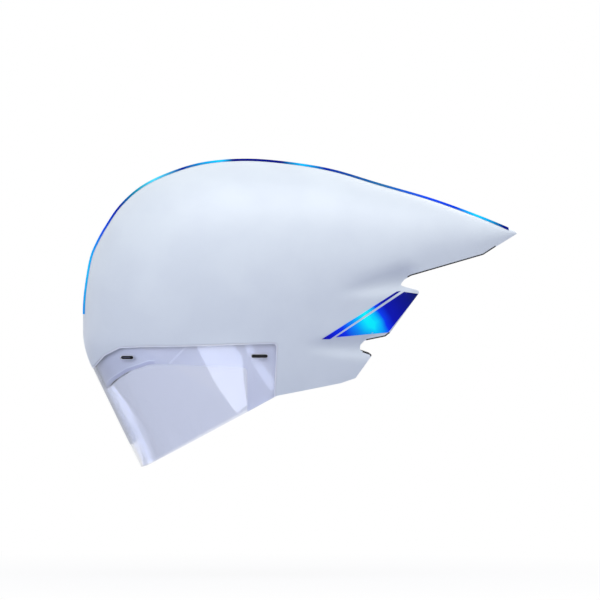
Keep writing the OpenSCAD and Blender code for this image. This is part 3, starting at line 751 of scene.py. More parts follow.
def dress(piece, name, material, body, nodes, degrees=32):
    """Gives a finished mesh its name, finish, body and the measured pieces it stands for."""
    piece.name = piece.data.name = name
    piece.data.materials.clear()
    piece.data.materials.append(material)
    piece.data.polygons.foreach_set("material_index", [0] * len(piece.data.polygons))
    piece.data.shade_smooth()
    piece.data.set_sharp_from_angle(angle=math.radians(degrees))
    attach(piece, body)
    if nodes:
        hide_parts(*nodes)
    print(name, len(piece.data.polygons), "faces")


def band(which, near=-SHELL_W, far=SHELL_W):
    """The strip along the lower edge that one piece of trim fills."""
    return carve(prism(outline(BANDS[which]), near, far), "DIFFERENCE",
                 prism(grown(body_line, -EDGING_H)))


# %% Shell and tail cover
shell = layer(body_form, 0, -SHELL_WALL, prism(body_line))
carve(shell, "DIFFERENCE", prism(recess_line), *[band(which) for which in BANDS])
dress(shell, "hard_shell", lacquer, "helmet", ["outer_shell"])

cover = carve(body_form(0), "INTERSECT", prism(body_line), band("tail"))
dress(cover, "tail_trim", trim_abs, "helmet", ["tail_cover"])

# %% The space for the head, and the edging beside it
BARREL_R, BARREL_C, ROOF = 80 * MM, 17 * MM, 25 * MM
DOME_Z = 0.517 * SHELL_H - ROOF - BARREL_R
SIDE_WALL = 15.5 * MM


def barrel(gap=0):
    """A rounded barrel, open straight down."""
    r = BARREL_R - gap
    turns = np.concatenate([np.linspace(-90, 90, 49), np.linspace(90, 270, 49)])
    shift = np.repeat([BARREL_C, -BARREL_C], 49)
    levels = [(1.0, -SHELL_H)]
    levels += [(math.cos(math.radians(e)), DOME_Z + r * math.sin(math.radians(e)))
               for e in np.linspace(0, 90, 25)]
    points = [(s + r * c * math.cos(math.radians(a)), r * c * math.sin(math.radians(a)), z)
              for c, z in levels for a, s in zip(turns, shift)]
    n = len(turns)
    faces = [(i * n + k, i * n + (k + 1) % n, (i + 1) * n + (k + 1) % n, (i + 1) * n + k)
             for i in range(len(levels) - 1) for k in range(n)]
    faces.append(tuple(range(n - 1, -1, -1)))
    return closed_up(new_piece("barrel", points, faces))


def neck_space():
    return carve(deep_form(-SIDE_WALL), "INTERSECT", prism(outline(NECK)))


for side, near, far in SIDES:
    for which in ("fin", "ear"):
        edge = carve(body_form(0), "INTERSECT", prism(body_line), band(which, near, far))
        carve(edge, "DIFFERENCE", barrel(), neck_space())
        dress(edge, f"{which}_trim_{side}", trim_abs, "helmet", [f"{which}_edging_{side}"])

# %% [markdown]
# ## Foam liner
#
# The liner fills the shell. A rounded barrel makes room for the head, the space between the
# fins is open, and a shallow pocket takes the frame of the visor. Grooves along the dome let
# air pass between the pads, as real liners have, and are cut only here.

# %% Liner
FRAME_FACE, VISOR_GAP = -3.5 * MM, 0.5 * MM
FRAME_BACK, FRAME_LAP = FRAME_FACE - 2.4 * MM, 5 * MM
LEDGE_RISE, LINER_GAP = 3.2 * MM, 0.05 * MM
liner = carve(body_form(-SHELL_WALL - LINER_GAP), "INTERSECT", prism(body_line))
carve(liner, "DIFFERENCE", prism(window_line), *[band(which) for which in BANDS])
ledge_room = layer(visor_form, LEDGE_RISE, FRAME_BACK, prism(recess_line))
pocket = layer(visor_form, FRAME_FACE, FRAME_BACK, prism(grown(recess_line, FRAME_LAP)))
for room in (ledge_room, pocket, barrel(), neck_space()):
    carve(liner, "DIFFERENCE", room)

# %% Grooves in the dome
GROOVE_W, GROOVE_DEEP = 7 * MM, 6 * MM
LONG_GROOVE, SHORT_GROOVE = mm(-55, 60), mm(-30, 35)


def groove(y, x0, x1):
    """A channel along the dome with rounded ends in plan."""
    r = GROOVE_W / 2
    ends = [(x1 + r * math.cos(a), r * math.sin(a))
            for a in np.linspace(-math.pi / 2, math.pi / 2, 9)]
    ends += [(x0 + r * math.cos(a), r * math.sin(a))
             for a in np.linspace(math.pi / 2, math.pi * 1.5, 9)]
    n = len(ends)
    points = [(px, y + py, z) for z in mm(30, 120) for px, py in ends]
    faces = [tuple(range(n - 1, -1, -1)), tuple(range(n, 2 * n))]
    faces += [(i, (i + 1) % n, n + (i + 1) % n, n + i) for i in range(n)]
    upright = closed_up(new_piece("groove", points, faces))
    return carve(upright, "INTERSECT", barrel(-GROOVE_DEEP))


for y, ends in ((-19.5, LONG_GROOVE), (19.5, LONG_GROOVE), (-59.5, SHORT_GROOVE),
                (59.5, SHORT_GROOVE)):
    carve(liner, "DIFFERENCE", groove(y * MM, *ends))
dress(liner, "foam_body", bead_foam, "helmet", ["foam_liner"], 28)

# %% [markdown]
# ## Visor, frame and seal
#
# The visor fills its recess flush with the shell. Behind it a grey frame carries it on four
# magnets, and a strip of rubber keeps rain out along the brow.

# %% Frame and seal
VISOR_WALL = 2.2 * MM
SLOTS = {"front": (-0.214, -0.321), "rear": (0.088, -0.314)}
SEAL = [[-0.6, -0.2], [-0.292, -0.2], [-0.292, -0.35], [-0.262, -0.46], [-0.262, -0.6],
        [-0.6, -0.6]]


def stadium(share, length, height, steps=12):
    """A long round-ended outline in millimetres, centred on a place in the side view."""
    length, height = length * MM, height * MM
    r, reach = height / 2, (length - height) / 2
    arc = np.linspace(-np.pi / 2, np.pi / 2, steps)
    ahead = [(reach + r * math.cos(a), r * math.sin(a)) for a in arc]
    return place(share) + np.array(ahead + [(-x, -z) for x, z in ahead])


carrier = layer(visor_form, FRAME_FACE, FRAME_BACK,
                prism(grown(recess_line, FRAME_LAP)), prism(foot_line))
carve(carrier, "DIFFERENCE", prism(window_line),
      *[prism(stadium(share, 8, 7.98)) for share in SLOTS.values()])
dress(carrier, "visor_carrier", frame_abs, "helmet", ["visor_frame"])

seal = layer(visor_form, FRAME_FACE + 1 * MM, FRAME_FACE + 0.01 * MM,
             prism(grown(recess_line, -VISOR_GAP)), prism(grown(foot_line, -VISOR_GAP)),
             prism(outline(SEAL)))
carve(seal, "DIFFERENCE", prism(grown(window_line, VISOR_GAP)))
dress(seal, "brow_gasket", rubber, "helmet", ["brow_seal"])

# %% Visor and its cut edge
EDGE_W = 0.8 * MM
SLOT_LENGTHS = {"front": 10.6, "rear": 13.7}
lens = layer(visor_form, 0, -VISOR_WALL,
             prism(grown(recess_line, -VISOR_GAP - EDGE_W)), prism(foot_line))
carve(lens, "DIFFERENCE",
      *[prism(stadium(SLOTS[end], SLOT_LENGTHS[end] + 0.1, 3)) for end in SLOTS])
dress(lens, "visor_shield", lens_pc, "visor", ["visor_lens"])

# The pale ring round the visor is a painted highlight along its cut edge
edge = layer(visor_form, 0, -VISOR_WALL,
             prism(grown(recess_line, -VISOR_GAP / 2)), prism(foot_line))
carve(edge, "DIFFERENCE", prism(grown(recess_line, -VISOR_GAP - EDGE_W)))
dress(edge, "visor_edge", edge_highlight_pc, "visor", ["visor_lens"])

# %% [markdown]
# Each slot holds a black insert that is hollow in the middle. The pale rim round it, where the
# sheet is cut, is a painted highlight, and a dark grey core inside the front one is painted
# shade for the dim frame seen down the slot.

# %% Inserts of the slots
HOLLOW = -1.2 * MM
for side, near, far in SIDES:
    for end, share in SLOTS.items():
        length = SLOT_LENGTHS[end]
        plug = layer(visor_form, 0.25 * MM, -VISOR_WALL,
                     prism(stadium(share, length, 2.9), near, far))
        carve(plug, "DIFFERENCE", layer(visor_form, 2 * MM, HOLLOW,
                                        prism(stadium(share, length - 1.7, 1.3), near, far)))
        dress(plug, f"{end}_slot_{side}", slot_black, "visor", [f"{end}_insert_{side}"])
        # A pale rim round each slot: a painted highlight where the sheet is cut
        halo = layer(visor_form, 0.06 * MM, -0.3 * MM,
                     prism(stadium(share, length + 0.8, 3.7), near, far))
        carve(halo, "DIFFERENCE", prism(stadium(share, length + 0.1, 3), near, far))
        dress(halo, f"{end}_slot_rim_{side}", edge_highlight_pc, "visor", [])
    # The grey core in the front slot is painted shade for the dim inside of the slot
    core_place = [SLOTS["front"][0] - 1 / 373, SLOTS["front"][1]]
    core = layer(visor_form, -0.3 * MM, HOLLOW,
                 prism(stadium(core_place, 7.4, 0.9), near, far))
    dress(core, f"slot_core_{side}", slot_shade_grey, "visor", [])

# %% [markdown]
# ## Foil graphics
#
# The foils are thin films on the lacquer: a stripe over the crown, a wedge on each fin and a
# thin line ahead of it. Each is the space between two forms a quarter of a millimetre apart.
# The stripe is as high as it looks from the side, and its width in plan follows from that.

# %% Cut and lay the foils
STRIPE_H, FOIL_TOP, FOIL_LOW = mm(2, 0.25, 0.02)
STRIPE = [[-0.6, -0.14], [-0.6, 1], [0.660, 1], [0.660, 0.2], [0.55, 0.12], [-0.2, 0.12],
          [-0.2, -0.14]]
FIN_FILM = [[0.261, -0.236], [0.417, -0.046], [0.450, -0.055], [0.381, -0.216]]
FIN_LINE = [[0.229, -0.244], [0.248, -0.244], [0.410, -0.042], [0.400, -0.045]]


def film(shares, near=-SHELL_W, far=SHELL_W):
    return layer(body_form, FOIL_TOP, FOIL_LOW, prism(outline(shares), near, far),
                 prism(body_line))


crown_line = surface(np.linspace(*BODY_T, 145), np.array(0.0), 0, True)[:, [0, 2]]
ahead = np.gradient(crown_line, axis=0)
outward = np.stack([-ahead[:, 1], ahead[:, 0]], 1) / np.linalg.norm(ahead, axis=1,
                                                                    keepdims=True)
under_crown = np.concatenate([crown_line + 1 * MM * outward,
                              (crown_line - STRIPE_H * outward)[::-1]])
stripe = carve(film(STRIPE), "INTERSECT", prism(under_crown))
dress(stripe, "crown_foil_stripe", crown_foil, "helmet", ["crown_stripe"])
for side, near, far in SIDES:
    for name, shares, measured in (("fin_foil", FIN_FILM, "fin_film"),
                                   ("fin_pinstripe", FIN_LINE, "fin_line")):
        dress(film(shares, near, far), f"{name}_{side}", fin_foil, "helmet",
              [f"{measured}_{side}"])

# %% [markdown]
# ## Repeated details with Geometry Nodes
#
# Rack teeth, slots, grip ridges and stitches are one small shape many times over. Three small
# trees repeat a shape in a row, round an axis and along a path. Each tree has named inputs,
# and the result is turned into a plain mesh at once.

# %% Build and run trees
def new_tree(name, **sizes):
    """An empty tree with a geometry input, these named inputs and a geometry output."""
    tree = bpy.data.node_groups.new(name, "GeometryNodeTree")
    kinds = {"Geometry": "Geometry", **{size.replace("_", " "): sizes[size] for size in sizes}}
    for size, kind in kinds.items():
        tree.interface.new_socket(size, in_out="INPUT", socket_type="NodeSocket" + kind)
    tree.interface.new_socket("Geometry", in_out="OUTPUT", socket_type="NodeSocketGeometry")
    return tree, node(tree, "NodeGroupInput").outputs


def close_tree(tree, points, shape, turn, material):
    """Puts the shape on the points, makes the copies real and gives them a material."""
    copies = node(tree, "GeometryNodeInstanceOnPoints", {"Points": points, "Instance": shape})
    if turn:
        tree.links.new(turn, copies.inputs["Rotation"])
    real = node(tree, "GeometryNodeRealizeInstances", {"Geometry": copies.outputs[0]})
    finished = node(tree, "GeometryNodeSetMaterial", {
        "Geometry": real.outputs[0], "Material": material})
    node(tree, "NodeGroupOutput", {"Geometry": finished.outputs[0]})


def run_tree(piece, tree, **values):
    """Gives the tree its values by the identifiers of its inputs, and freezes the result."""
    modifier = piece.modifiers.new("tree", "NODES")
    modifier.node_group = tree
    sockets = {item.name: item.identifier for item in tree.interface.items_tree
               if item.in_out == "INPUT"}
    for name, value in values.items():
        modifier[sockets[name]] = value
    return freeze(piece)


# %% The three trees
in_a_row, sizes = new_tree("in a row", Count="Int", Step="Vector", Finish="Material")
row_points = node(in_a_row, "GeometryNodeMeshLine", {
    "Count": sizes["Count"], "Offset": sizes["Step"]}, mode="OFFSET")
close_tree(in_a_row, row_points.outputs[0], sizes["Geometry"], None, sizes["Finish"])

round_an_axis, sizes = new_tree("round an axis", Count="Int", Finish="Material")
axis_points = node(round_an_axis, "GeometryNodePoints", {"Count": sizes["Count"]})
number = node(round_an_axis, "GeometryNodeInputIndex")
part_turn = node(round_an_axis, "ShaderNodeMath", {0: 2 * math.pi, 1: sizes["Count"]},
                 operation="DIVIDE")
turn = node(round_an_axis, "ShaderNodeMath", {0: number.outputs[0], 1: part_turn.outputs[0]},
            operation="MULTIPLY")
about_x = node(round_an_axis, "ShaderNodeCombineXYZ", {"X": turn.outputs[0]})
close_tree(round_an_axis, axis_points.outputs[0], sizes["Geometry"], about_x.outputs[0],
           sizes["Finish"])

along_a_path, sizes = new_tree("stitches along a path", Spacing="Float", Length="Float",
                               Thread="Float", Finish="Material")
path_curve = node(along_a_path, "GeometryNodeMeshToCurve", {"Mesh": sizes["Geometry"]})
path_points = node(along_a_path, "GeometryNodeCurveToPoints", {
    "Curve": path_curve.outputs[0], "Length": sizes["Spacing"]}, mode="LENGTH")
along = node(along_a_path, "FunctionNodeAlignRotationToVector", {
    "Vector": path_points.outputs["Tangent"]}, axis="X")
bead = node(along_a_path, "GeometryNodeMeshUVSphere", {
    "Segments": 8, "Rings": 5, "Radius": 0.5})
bead_size = node(along_a_path, "ShaderNodeCombineXYZ", {
    "X": sizes["Length"], "Y": sizes["Thread"], "Z": sizes["Thread"]})
stitch = node(along_a_path, "GeometryNodeTransform", {
    "Geometry": bead.outputs[0], "Scale": bead_size.outputs[0]})
close_tree(along_a_path, path_points.outputs["Points"], stitch.outputs[0], along.outputs[0],
           sizes["Finish"])
print("trees:", len(bpy.data.node_groups))

# %% [markdown]
# ## Finishes of the inside
#
# Pads are foam under a soft brushed knit, and straps are woven nylon. Both patterns read the
# piece's own UV map, laid out in metres, so the yarns follow the cloth.

# %% Knit and webbing
def cloth_finish(name, dark, light, yarns, height, hairs, roughness, **sockets):
    """Rows of rounded yarns, spaced across and along the cloth, with fine hairs on them."""
    made, tree, shader = finish(name, light, roughness, **sockets)
    cloth_place = node(tree, "ShaderNodeSeparateXYZ", {
        0: node(tree, "ShaderNodeTexCoord").outputs["UV"]})
    rows = []
    for axis, spacing in zip("YX", yarns):
        angle = node(tree, "ShaderNodeMath", {
            0: cloth_place.outputs[axis], 1: math.pi / (spacing * MM)}, operation="MULTIPLY")
        wave = node(tree, "ShaderNodeMath", {0: angle.outputs[0]}, operation="SINE")
        rows.append(node(tree, "ShaderNodeMath", {0: wave.outputs[0]},
                         operation="ABSOLUTE").outputs[0])
    pattern = node(tree, "ShaderNodeMath", {0: rows[1], 1: rows[0]},
                   operation="MULTIPLY").outputs[0]
    hair = node(tree, "ShaderNodeTexNoise", {
        "Vector": object_place(tree), "Scale": 1 / (hairs * MM), "Detail": 3.0})
    rough = node(tree, "ShaderNodeMath", {0: hair.outputs[0], 1: 0.5, 2: pattern},
                 operation="MULTIPLY_ADD")
    relieve(tree, shader, rough.outputs[0], height * MM)
    tone = node(tree, "ShaderNodeValToRGB", {0: pattern})
    for stop, colour in zip(tone.color_ramp.elements, (dark, light)):
        stop.color = linear(colour)
    tree.links.new(tone.outputs[0], shader.inputs["Base Color"])
    return made


# The real knit has about 0.5 mm a loop, drawn here at 1.1 mm so that it shows
pad_knit = cloth_finish("black brushed polyester knit", "#0d0d10", "#232329", (1.1, 1.4),
                        0.25, 0.3, 0.85, Sheen_Weight=0.4, Sheen_Roughness=0.4,
                        Specular_IOR_Level=0.25)
# Webbing has flat yarns about 1 mm wide
strap_weave = cloth_finish("black woven nylon webbing", "#0c0c0e", "#2a2a2f", (1, 1.8),
                           0.2, 0.2, 0.6, Sheen_Weight=0.15, Sheen_Roughness=0.4,
                           Specular_IOR_Level=0.4)

# %% Thread, rivets and rubber
thread = plain_finish("dark grey polyester thread", "#4a4a52", 0.55,
                      (0.8, "#3e3e46", "#585862"), Sheen_Weight=0.2)
rivet_steel = plain_finish("blackened steel rivet", "#3a3a3e", 0.35, (1.5, 0.28, 0.42),
                           Metallic=1.0)
grip_rubber = plain_finish("soft black thermoplastic rubber", "#1d1d20", 0.7,
                           (6, "#19191c", "#242428"), (0.5, 0.02), Specular_IOR_Level=0.35)
print("finishes:", len(bpy.data.materials))

# %% [markdown]
# ## Magnets and the small parts of the frame
#
# Each magnet sits in a hole through the frame behind a slot and is potted over in pale resin,
# so from outside it can hardly be told from the frame. A low lip runs along the front of the
# window: its lilac grey band is painted shade and its pale crest a painted highlight. A thin
# slanting strip on the ledge over it, in the same pale colour, is a painted highlight line.

# %% Magnets, and the lip and ledge strip with painted highlight and shade
potting = plain_finish("pale epoxy potting", "#e6e8f0", 0.42, (4, "#e3e5ee", "#e9ebf2"))
# The pale crest and ledge strip are painted highlights, the lilac grey band of the lip painted
# shade
highlight_tone = plain_finish("pale ABS with a painted highlight", "#f2f4fb", 0.3, (10, "#eff1f9", "#f5f7fc"))
lip_shade_tone = plain_finish("lilac grey ABS with painted shade", "#d2d4e6", 0.4, (20, "#cfd1e4", "#d5d7e9"))
LIP_ZONE = [[-0.6, -0.2], [-0.15, -0.2], [-0.15, -0.6], [-0.6, -0.6]]
HIGHLIGHT_LINE = [[-0.0795, -0.2712], [-0.0735, -0.2712], [-0.1135, -0.346], [-0.1195, -0.346]]
ON_FRAME = FRAME_FACE + 0.02 * MM
for side, near, far in SIDES:
    for end, share in SLOTS.items():
        disc = layer(visor_form, FRAME_FACE, FRAME_BACK,
                     prism(stadium(share, 7.96, 7.94, 24), near, far))
        dress(disc, f"{end}_magnet_disc_{side}", potting, "helmet",
              [f"{end}_magnet_{side}"])

for name, tone, first, last in (("window_lip", lip_shade_tone, 0.4, 3.0),
                                ("window_lip_crest", highlight_tone, 3.0, 4.0)):
    lip = layer(visor_form, FRAME_FACE + 0.3 * MM, ON_FRAME,
                prism(grown(window_line, last * MM)), prism(outline(LIP_ZONE)),
                prism(foot_line))
    carve(lip, "DIFFERENCE", prism(grown(window_line, first * MM)), prism(outline(SEAL)))
    dress(lip, name, tone, "helmet", [])

# A pale strip slanting across the ledge: a painted highlight line
highlight_strip = layer(visor_form, FRAME_FACE + 0.5 * MM, ON_FRAME,
                   prism(outline(HIGHLIGHT_LINE)), prism(grown(recess_line, -1 * MM)))
dress(highlight_strip, "ledge_highlight", highlight_tone, "helmet", [])

# %% [markdown]
# ## Padding
#
# The pads are foam in knitted covers, sewn round the edge and along channels. Each is drawn as
# a pillow over the wall it lies on, with a thin flange for the seam. Blender's cloth then
# swells it: the back, the flange and the channels are held, and pressure fills the rest.

# %% Pillows
FLANGE, LIP, SEAM_IN, CELL = mm(2.2, 1.2, 1.1, 1.7)
PAD_T, PAD_W, EAR_T, CLEAR = mm(7, 30, 5, 0.3)
CHANNEL_W, CHANNEL_SHARE = 1.6 * MM, 0.75


def crowned(from_edge, soft):
    """The share of its full height that a pillow has at a distance from its flange."""
    return np.sqrt(1 - (1 - np.clip(from_edge / soft, 0, 1)) ** 2)


def pillow_plan(half_a, half_b, corner):
    """A grid in a rectangle with round corners, and each point's distance from the edge."""
    a, b = np.meshgrid(*[np.linspace(-half, half, 2 * math.ceil(half / CELL) + 1)
                         for half in (half_a, half_b)], indexing="ij")
    over_a, over_b = np.abs(a) - (half_a - corner), np.abs(b) - (half_b - corner)
    both = (over_a > 0) & (over_b > 0)
    u, v = np.where(both, over_a / corner, 0), np.where(both, over_b / corner, 0)
    in_a, in_b = u * np.sqrt(1 - v * v / 2), v * np.sqrt(1 - u * u / 2)
    a = np.where(both, np.sign(a) * (half_a - corner + corner * in_a), a)
    b = np.where(both, np.sign(b) * (half_b - corner + corner * in_b), b)
    from_edge = np.where(both, corner * (1 - np.hypot(in_a, in_b)),
                         np.minimum(half_a - np.abs(a), half_b - np.abs(b)))
    return a, b, from_edge


def pillow(at, half_a, half_b, corner, thick, channels):
    """A closed pillow. at(a, b, h) gives the places of points h above the wall."""
    a, b, from_edge = pillow_plan(half_a, half_b, corner)
    soft = thick - LIP
    rise = crowned(from_edge - FLANGE, soft)
    held = from_edge < FLANGE + 0.1 * MM
    for c in channels:
        rise = rise * (1 - CHANNEL_SHARE * np.exp(-((a - c) / CHANNEL_W) ** 2))
        held = held | (np.abs(a - c) < 0.5 * CELL)
    h = LIP + soft * rise
    front, back = at(a, b, h).reshape(-1, 3), at(a, b, 0 * h).reshape(-1, 3)
    n, m = a.shape
    grid = np.arange(n * m).reshape(n, m)
    corners = (grid[:-1, :-1], grid[1:, :-1], grid[1:, 1:], grid[:-1, 1:])
    faces = np.stack([c.ravel() for c in corners], 1).tolist()
    faces += [[k + n * m for k in reversed(f)] for f in faces]
    edge = [*grid[:-1, 0], *grid[-1, :-1], *grid[:0:-1, -1], *grid[0, :0:-1]]
    faces += [(int(p), int(p) + n * m, int(q) + n * m, int(q))
              for p, q in zip(edge, edge[1:] + edge[:1])]
    made = closed_up(new_piece("pillow", np.concatenate([front, back]), faces), merge=False)
    flat = np.stack([a.ravel(), b.ravel()], 1)
    uv = made.data.uv_layers.new(name="cloth").data
    for loop in made.data.loops:
        uv[loop.index].uv = flat[loop.vertex_index % (n * m)]
    group = made.vertex_groups.new(name="held")
    front_held = [int(k) for k in np.flatnonzero(held.ravel())]
    group.add(front_held + list(range(n * m, 2 * n * m)), 1.0, "REPLACE")
    return made


# %% Seams
def sew(points, edges, spacing, length, width):
    """Stitches along a path, in millimetres, as one mesh."""
    return run_tree(new_piece("path", points, [], edges), along_a_path, Spacing=spacing * MM,
                    Length=length * MM, Thread=width * MM, Finish=thread)


def finer(line, parts):
    """A line with each stretch parted evenly."""
    return np.concatenate([np.linspace(p, q, parts)[:-1] for p, q in zip(line[:-1], line[1:])]
                          + [line[-1:]])


def seam(at, half_a, half_b, corner, channels, thick):
    """The stitches of a pillow: round the flange and along each channel."""
    box = np.array([[-1, -1], [1, -1], [1, 1], [-1, 1]]) * [half_a - SEAM_IN, half_b - SEAM_IN]
    ring = rounded(box, corner - SEAM_IN, 8)
    lines = [np.concatenate([ring, ring[:1]])]
    b = np.linspace(-half_b + SEAM_IN, half_b - SEAM_IN, 24)
    lines += [np.stack([np.full(24, c), b], 1) for c in channels]
    points, edges = [], []
    for k, line in enumerate(lines):
        fine = finer(line, 6)
        rise = crowned(half_b - np.abs(fine[:, 1]) - FLANGE, thick - LIP)
        height = LIP + (0 if k == 0 else (thick - LIP) * (1 - CHANNEL_SHARE) * rise)
        start = len(points)
        points += list(at(fine[:, 0], fine[:, 1], height + 0.15 * MM + 0 * fine[:, 0]))
        edges += [(start + i, start + i + 1) for i in range(len(fine) - 1)]
    return sew(points, edges, 2.4, 1.7, 0.55)


# %% Walls that the pads lie on
def on_dome(y0):
    """The dome, for a pad whose middle is at y0."""
    def at(a, b, h):
        dx, y = np.sign(a) * np.maximum(np.abs(a) - BARREL_C, 0), y0 + b
        r = BARREL_R - CLEAR
        up = np.sqrt(r * r - dx * dx - y * y)
        k = (r - h) / r
        return np.stack([a - dx + dx * k, y * k, DOME_Z + up * k], -1)
    return at


def on_drum(middle_x, facing, level, r):
    """An upright round wall. facing is the angle of its middle, in degrees."""
    def at(a, b, h):
        angle = math.radians(facing) + a / r
        return np.stack([middle_x + (r - h) * np.cos(angle), (r - h) * np.sin(angle),
                         level + b + 0 * a], -1)
    return at


WALLS = {}


def on_wall(x, z, depth, side):
    """Where the inner side of the wall lies at a depth, seen from the helmet's middle."""
    if depth not in WALLS:
        shape = deep_form(-depth)
        WALLS[depth] = BVHTree.FromPolygons([v.co for v in shape.data.vertices],
                                            [p.vertices[:] for p in shape.data.polygons])
        bpy.data.objects.remove(shape)
    return np.array(WALLS[depth].ray_cast(Vector((x, 0, z)), Vector((0, side, 0)))[0])


EAR_PAD = outline([[0.14, -0.235], [0.225, -0.245], [0.215, -0.4], [0.14, -0.425]])
EAR_HALF = mm(15, 19)


def on_flap(side):
    """The inner side of an ear flap, inside the outline of its pad."""
    def at(a, b, h):
        u, v = (a / EAR_HALF[0] + 1) / 2, (1 - b / EAR_HALF[1]) / 2
        top = EAR_PAD[0] + u[..., None] * (EAR_PAD[1] - EAR_PAD[0])
        low = EAR_PAD[3] + u[..., None] * (EAR_PAD[2] - EAR_PAD[3])
        places = (top + v[..., None] * (low - top)).reshape(-1, 2)
        base, full = (np.array([on_wall(x, z, depth, side) for x, z in places])
                      for depth in (SIDE_WALL + CLEAR, SIDE_WALL + CLEAR + EAR_T))
        height = (np.zeros(a.shape) + h).reshape(-1, 1) / EAR_T
        return (base + height * (full - base)).reshape(a.shape + (3,))
    return at


# %% All the pads, before they swell
DIAL_Z, RAIL_R = -38 * MM, BARREL_R - PAD_T
CRADLE_R = RAIL_R - 1.6 * MM
DRUM_R = BARREL_R - CLEAR
SWELL, FRAMES = 1.2 * MM, 20
CROWN_MID = (48.5 * MM, PAD_W / 2, 7.5 * MM, PAD_T, tuple(mm(-16, 16)))
CROWN_SIDE = (37.3 * MM, PAD_W / 2, 7.5 * MM, PAD_T, (0,))
BROW_SIZE = (math.radians(62) * DRUM_R, 13 * MM, 6 * MM, PAD_T,
             tuple(k * 34 * MM for k in (-2, -1, 0, 1, 2)))
EAR_SIZE = (*EAR_HALF, 6 * MM, EAR_T, ())
CRADLE_SIZE = (*mm(9.9, 8.3, 3), PAD_T / 2, ())
# Name, wall, (half length, half width, corner, thickness, channels), body, measured piece
PADS = [
    ("crown_cushion_mid", on_dome(0), CROWN_MID, "helmet", "crown_pad_mid"),
    ("crown_cushion_left", on_dome(-1.3 * PAD_W), CROWN_SIDE, "helmet", "crown_pad_left"),
    ("crown_cushion_right", on_dome(1.3 * PAD_W), CROWN_SIDE, "helmet", "crown_pad_right"),
    ("brow_cushion", on_drum(-BARREL_C, 180, DIAL_Z, DRUM_R), BROW_SIZE, "helmet", "brow_pad"),
    ("ear_cushion_left", on_flap(-1), EAR_SIZE, "helmet", "ear_pad_left"),
    ("ear_cushion_right", on_flap(1), EAR_SIZE, "helmet", "ear_pad_right"),
    ("cradle_cushion_left", on_drum(BARREL_C, -16, DIAL_Z, CRADLE_R), CRADLE_SIZE, "cradle",
     "cradle_pad_left"),
    ("cradle_cushion_right", on_drum(BARREL_C, 16, DIAL_Z, CRADLE_R), CRADLE_SIZE, "cradle",
     "cradle_pad_right"),
]
pillows = [pillow(at, half_a, half_b, corner, thick - SWELL, channels)
           for _, at, (half_a, half_b, corner, thick, channels), _, _ in PADS]
print("pillows:", len(pillows), "points:", sum(len(p.data.vertices) for p in pillows))

# %% Swell them
CLOTH = {"mass": 0.05, "use_pressure": True, "uniform_pressure_force": 150,
         "vertex_group_mass": "held", "shrink_min": -0.05}


def coords(piece):
    """The places of a piece's points, a row for each."""
    flat = np.empty(3 * len(piece.data.vertices))
    piece.data.vertices.foreach_get("co", flat)
    return flat.reshape(-1, 3)


rests = [coords(piece) for piece in pillows]
for piece in pillows:
    swell = piece.modifiers.new("swell", "CLOTH")
    for name, value in CLOTH.items():
        setattr(swell.settings, name, value)
    swell.settings.effector_weights.gravity = 0
    swell.point_cache.frame_end = FRAMES
for step in range(1, FRAMES + 1):
    bpy.context.scene.frame_set(step)

# %% Cap how far they swelled, round them and sew them
for piece, rest, (name, at, size, body, measured) in zip(pillows, rests, PADS):
    half_a, half_b, corner, thick, channels = size
    move = coords(freeze(piece)) - rest
    length = np.linalg.norm(move, axis=1, keepdims=True)
    moved = rest + move * np.minimum(1, SWELL / np.maximum(length, 1e-9))
    piece.data.vertices.foreach_set("co", moved.ravel())
    print(name, "moved by up to", round(float(length.max()) / MM, 2), "mm")
    rounder = piece.modifiers.new("rounder", "SUBSURF")
    rounder.levels = rounder.render_levels = 1
    dress(freeze(piece), name, pad_knit, body, [measured], 60)
    stitches = seam(at, half_a, half_b, corner, channels, thick - SWELL)
    dress(stitches, name + "_seam", thread, body, [], 60)
bpy.context.scene.frame_set(1)

# %% [markdown]
# ## Parts bent round the head
#
# The rail, the cradle and the fit bands follow the drum of the cavity. Each is drawn flat, as
# a plate with fine columns, trimmed there with its slots and teeth, and then bent: distance
# along the plate becomes angle, and its thickness runs towards the head.

# %% Plates and turned pieces
def plate(x0, x1, z0, z1, near, far, cell=1.5 * MM):
    """A box with fine columns along X, standing in the XZ plane from near to far along Y."""
    xs = np.linspace(x0, x1, 1 + math.ceil((x1 - x0) / cell))
    columns = [[(x, near, z0), (x, near, z1), (x, far, z1), (x, far, z0)] for x in xs]
    faces = [(4 * i + k, 4 * i + (k + 1) % 4, 4 * i + 4 + (k + 1) % 4, 4 * i + 4 + k)
             for i in range(len(xs) - 1) for k in range(4)]
    last = 4 * len(xs) - 4
    return closed_up(new_piece("plate", [p for column in columns for p in column],
                               faces + [(0, 3, 2, 1), (last, last + 1, last + 2, last + 3)]))


def bar(x0, x1, z0, z1, near, far, radius=0):
    """A block with rounded corners in the XZ plane."""
    corners = np.array([(x0, z0), (x1, z0), (x1, z1), (x0, z1)])
    return prism(rounded(corners, radius, 4) if radius else corners, near, far)


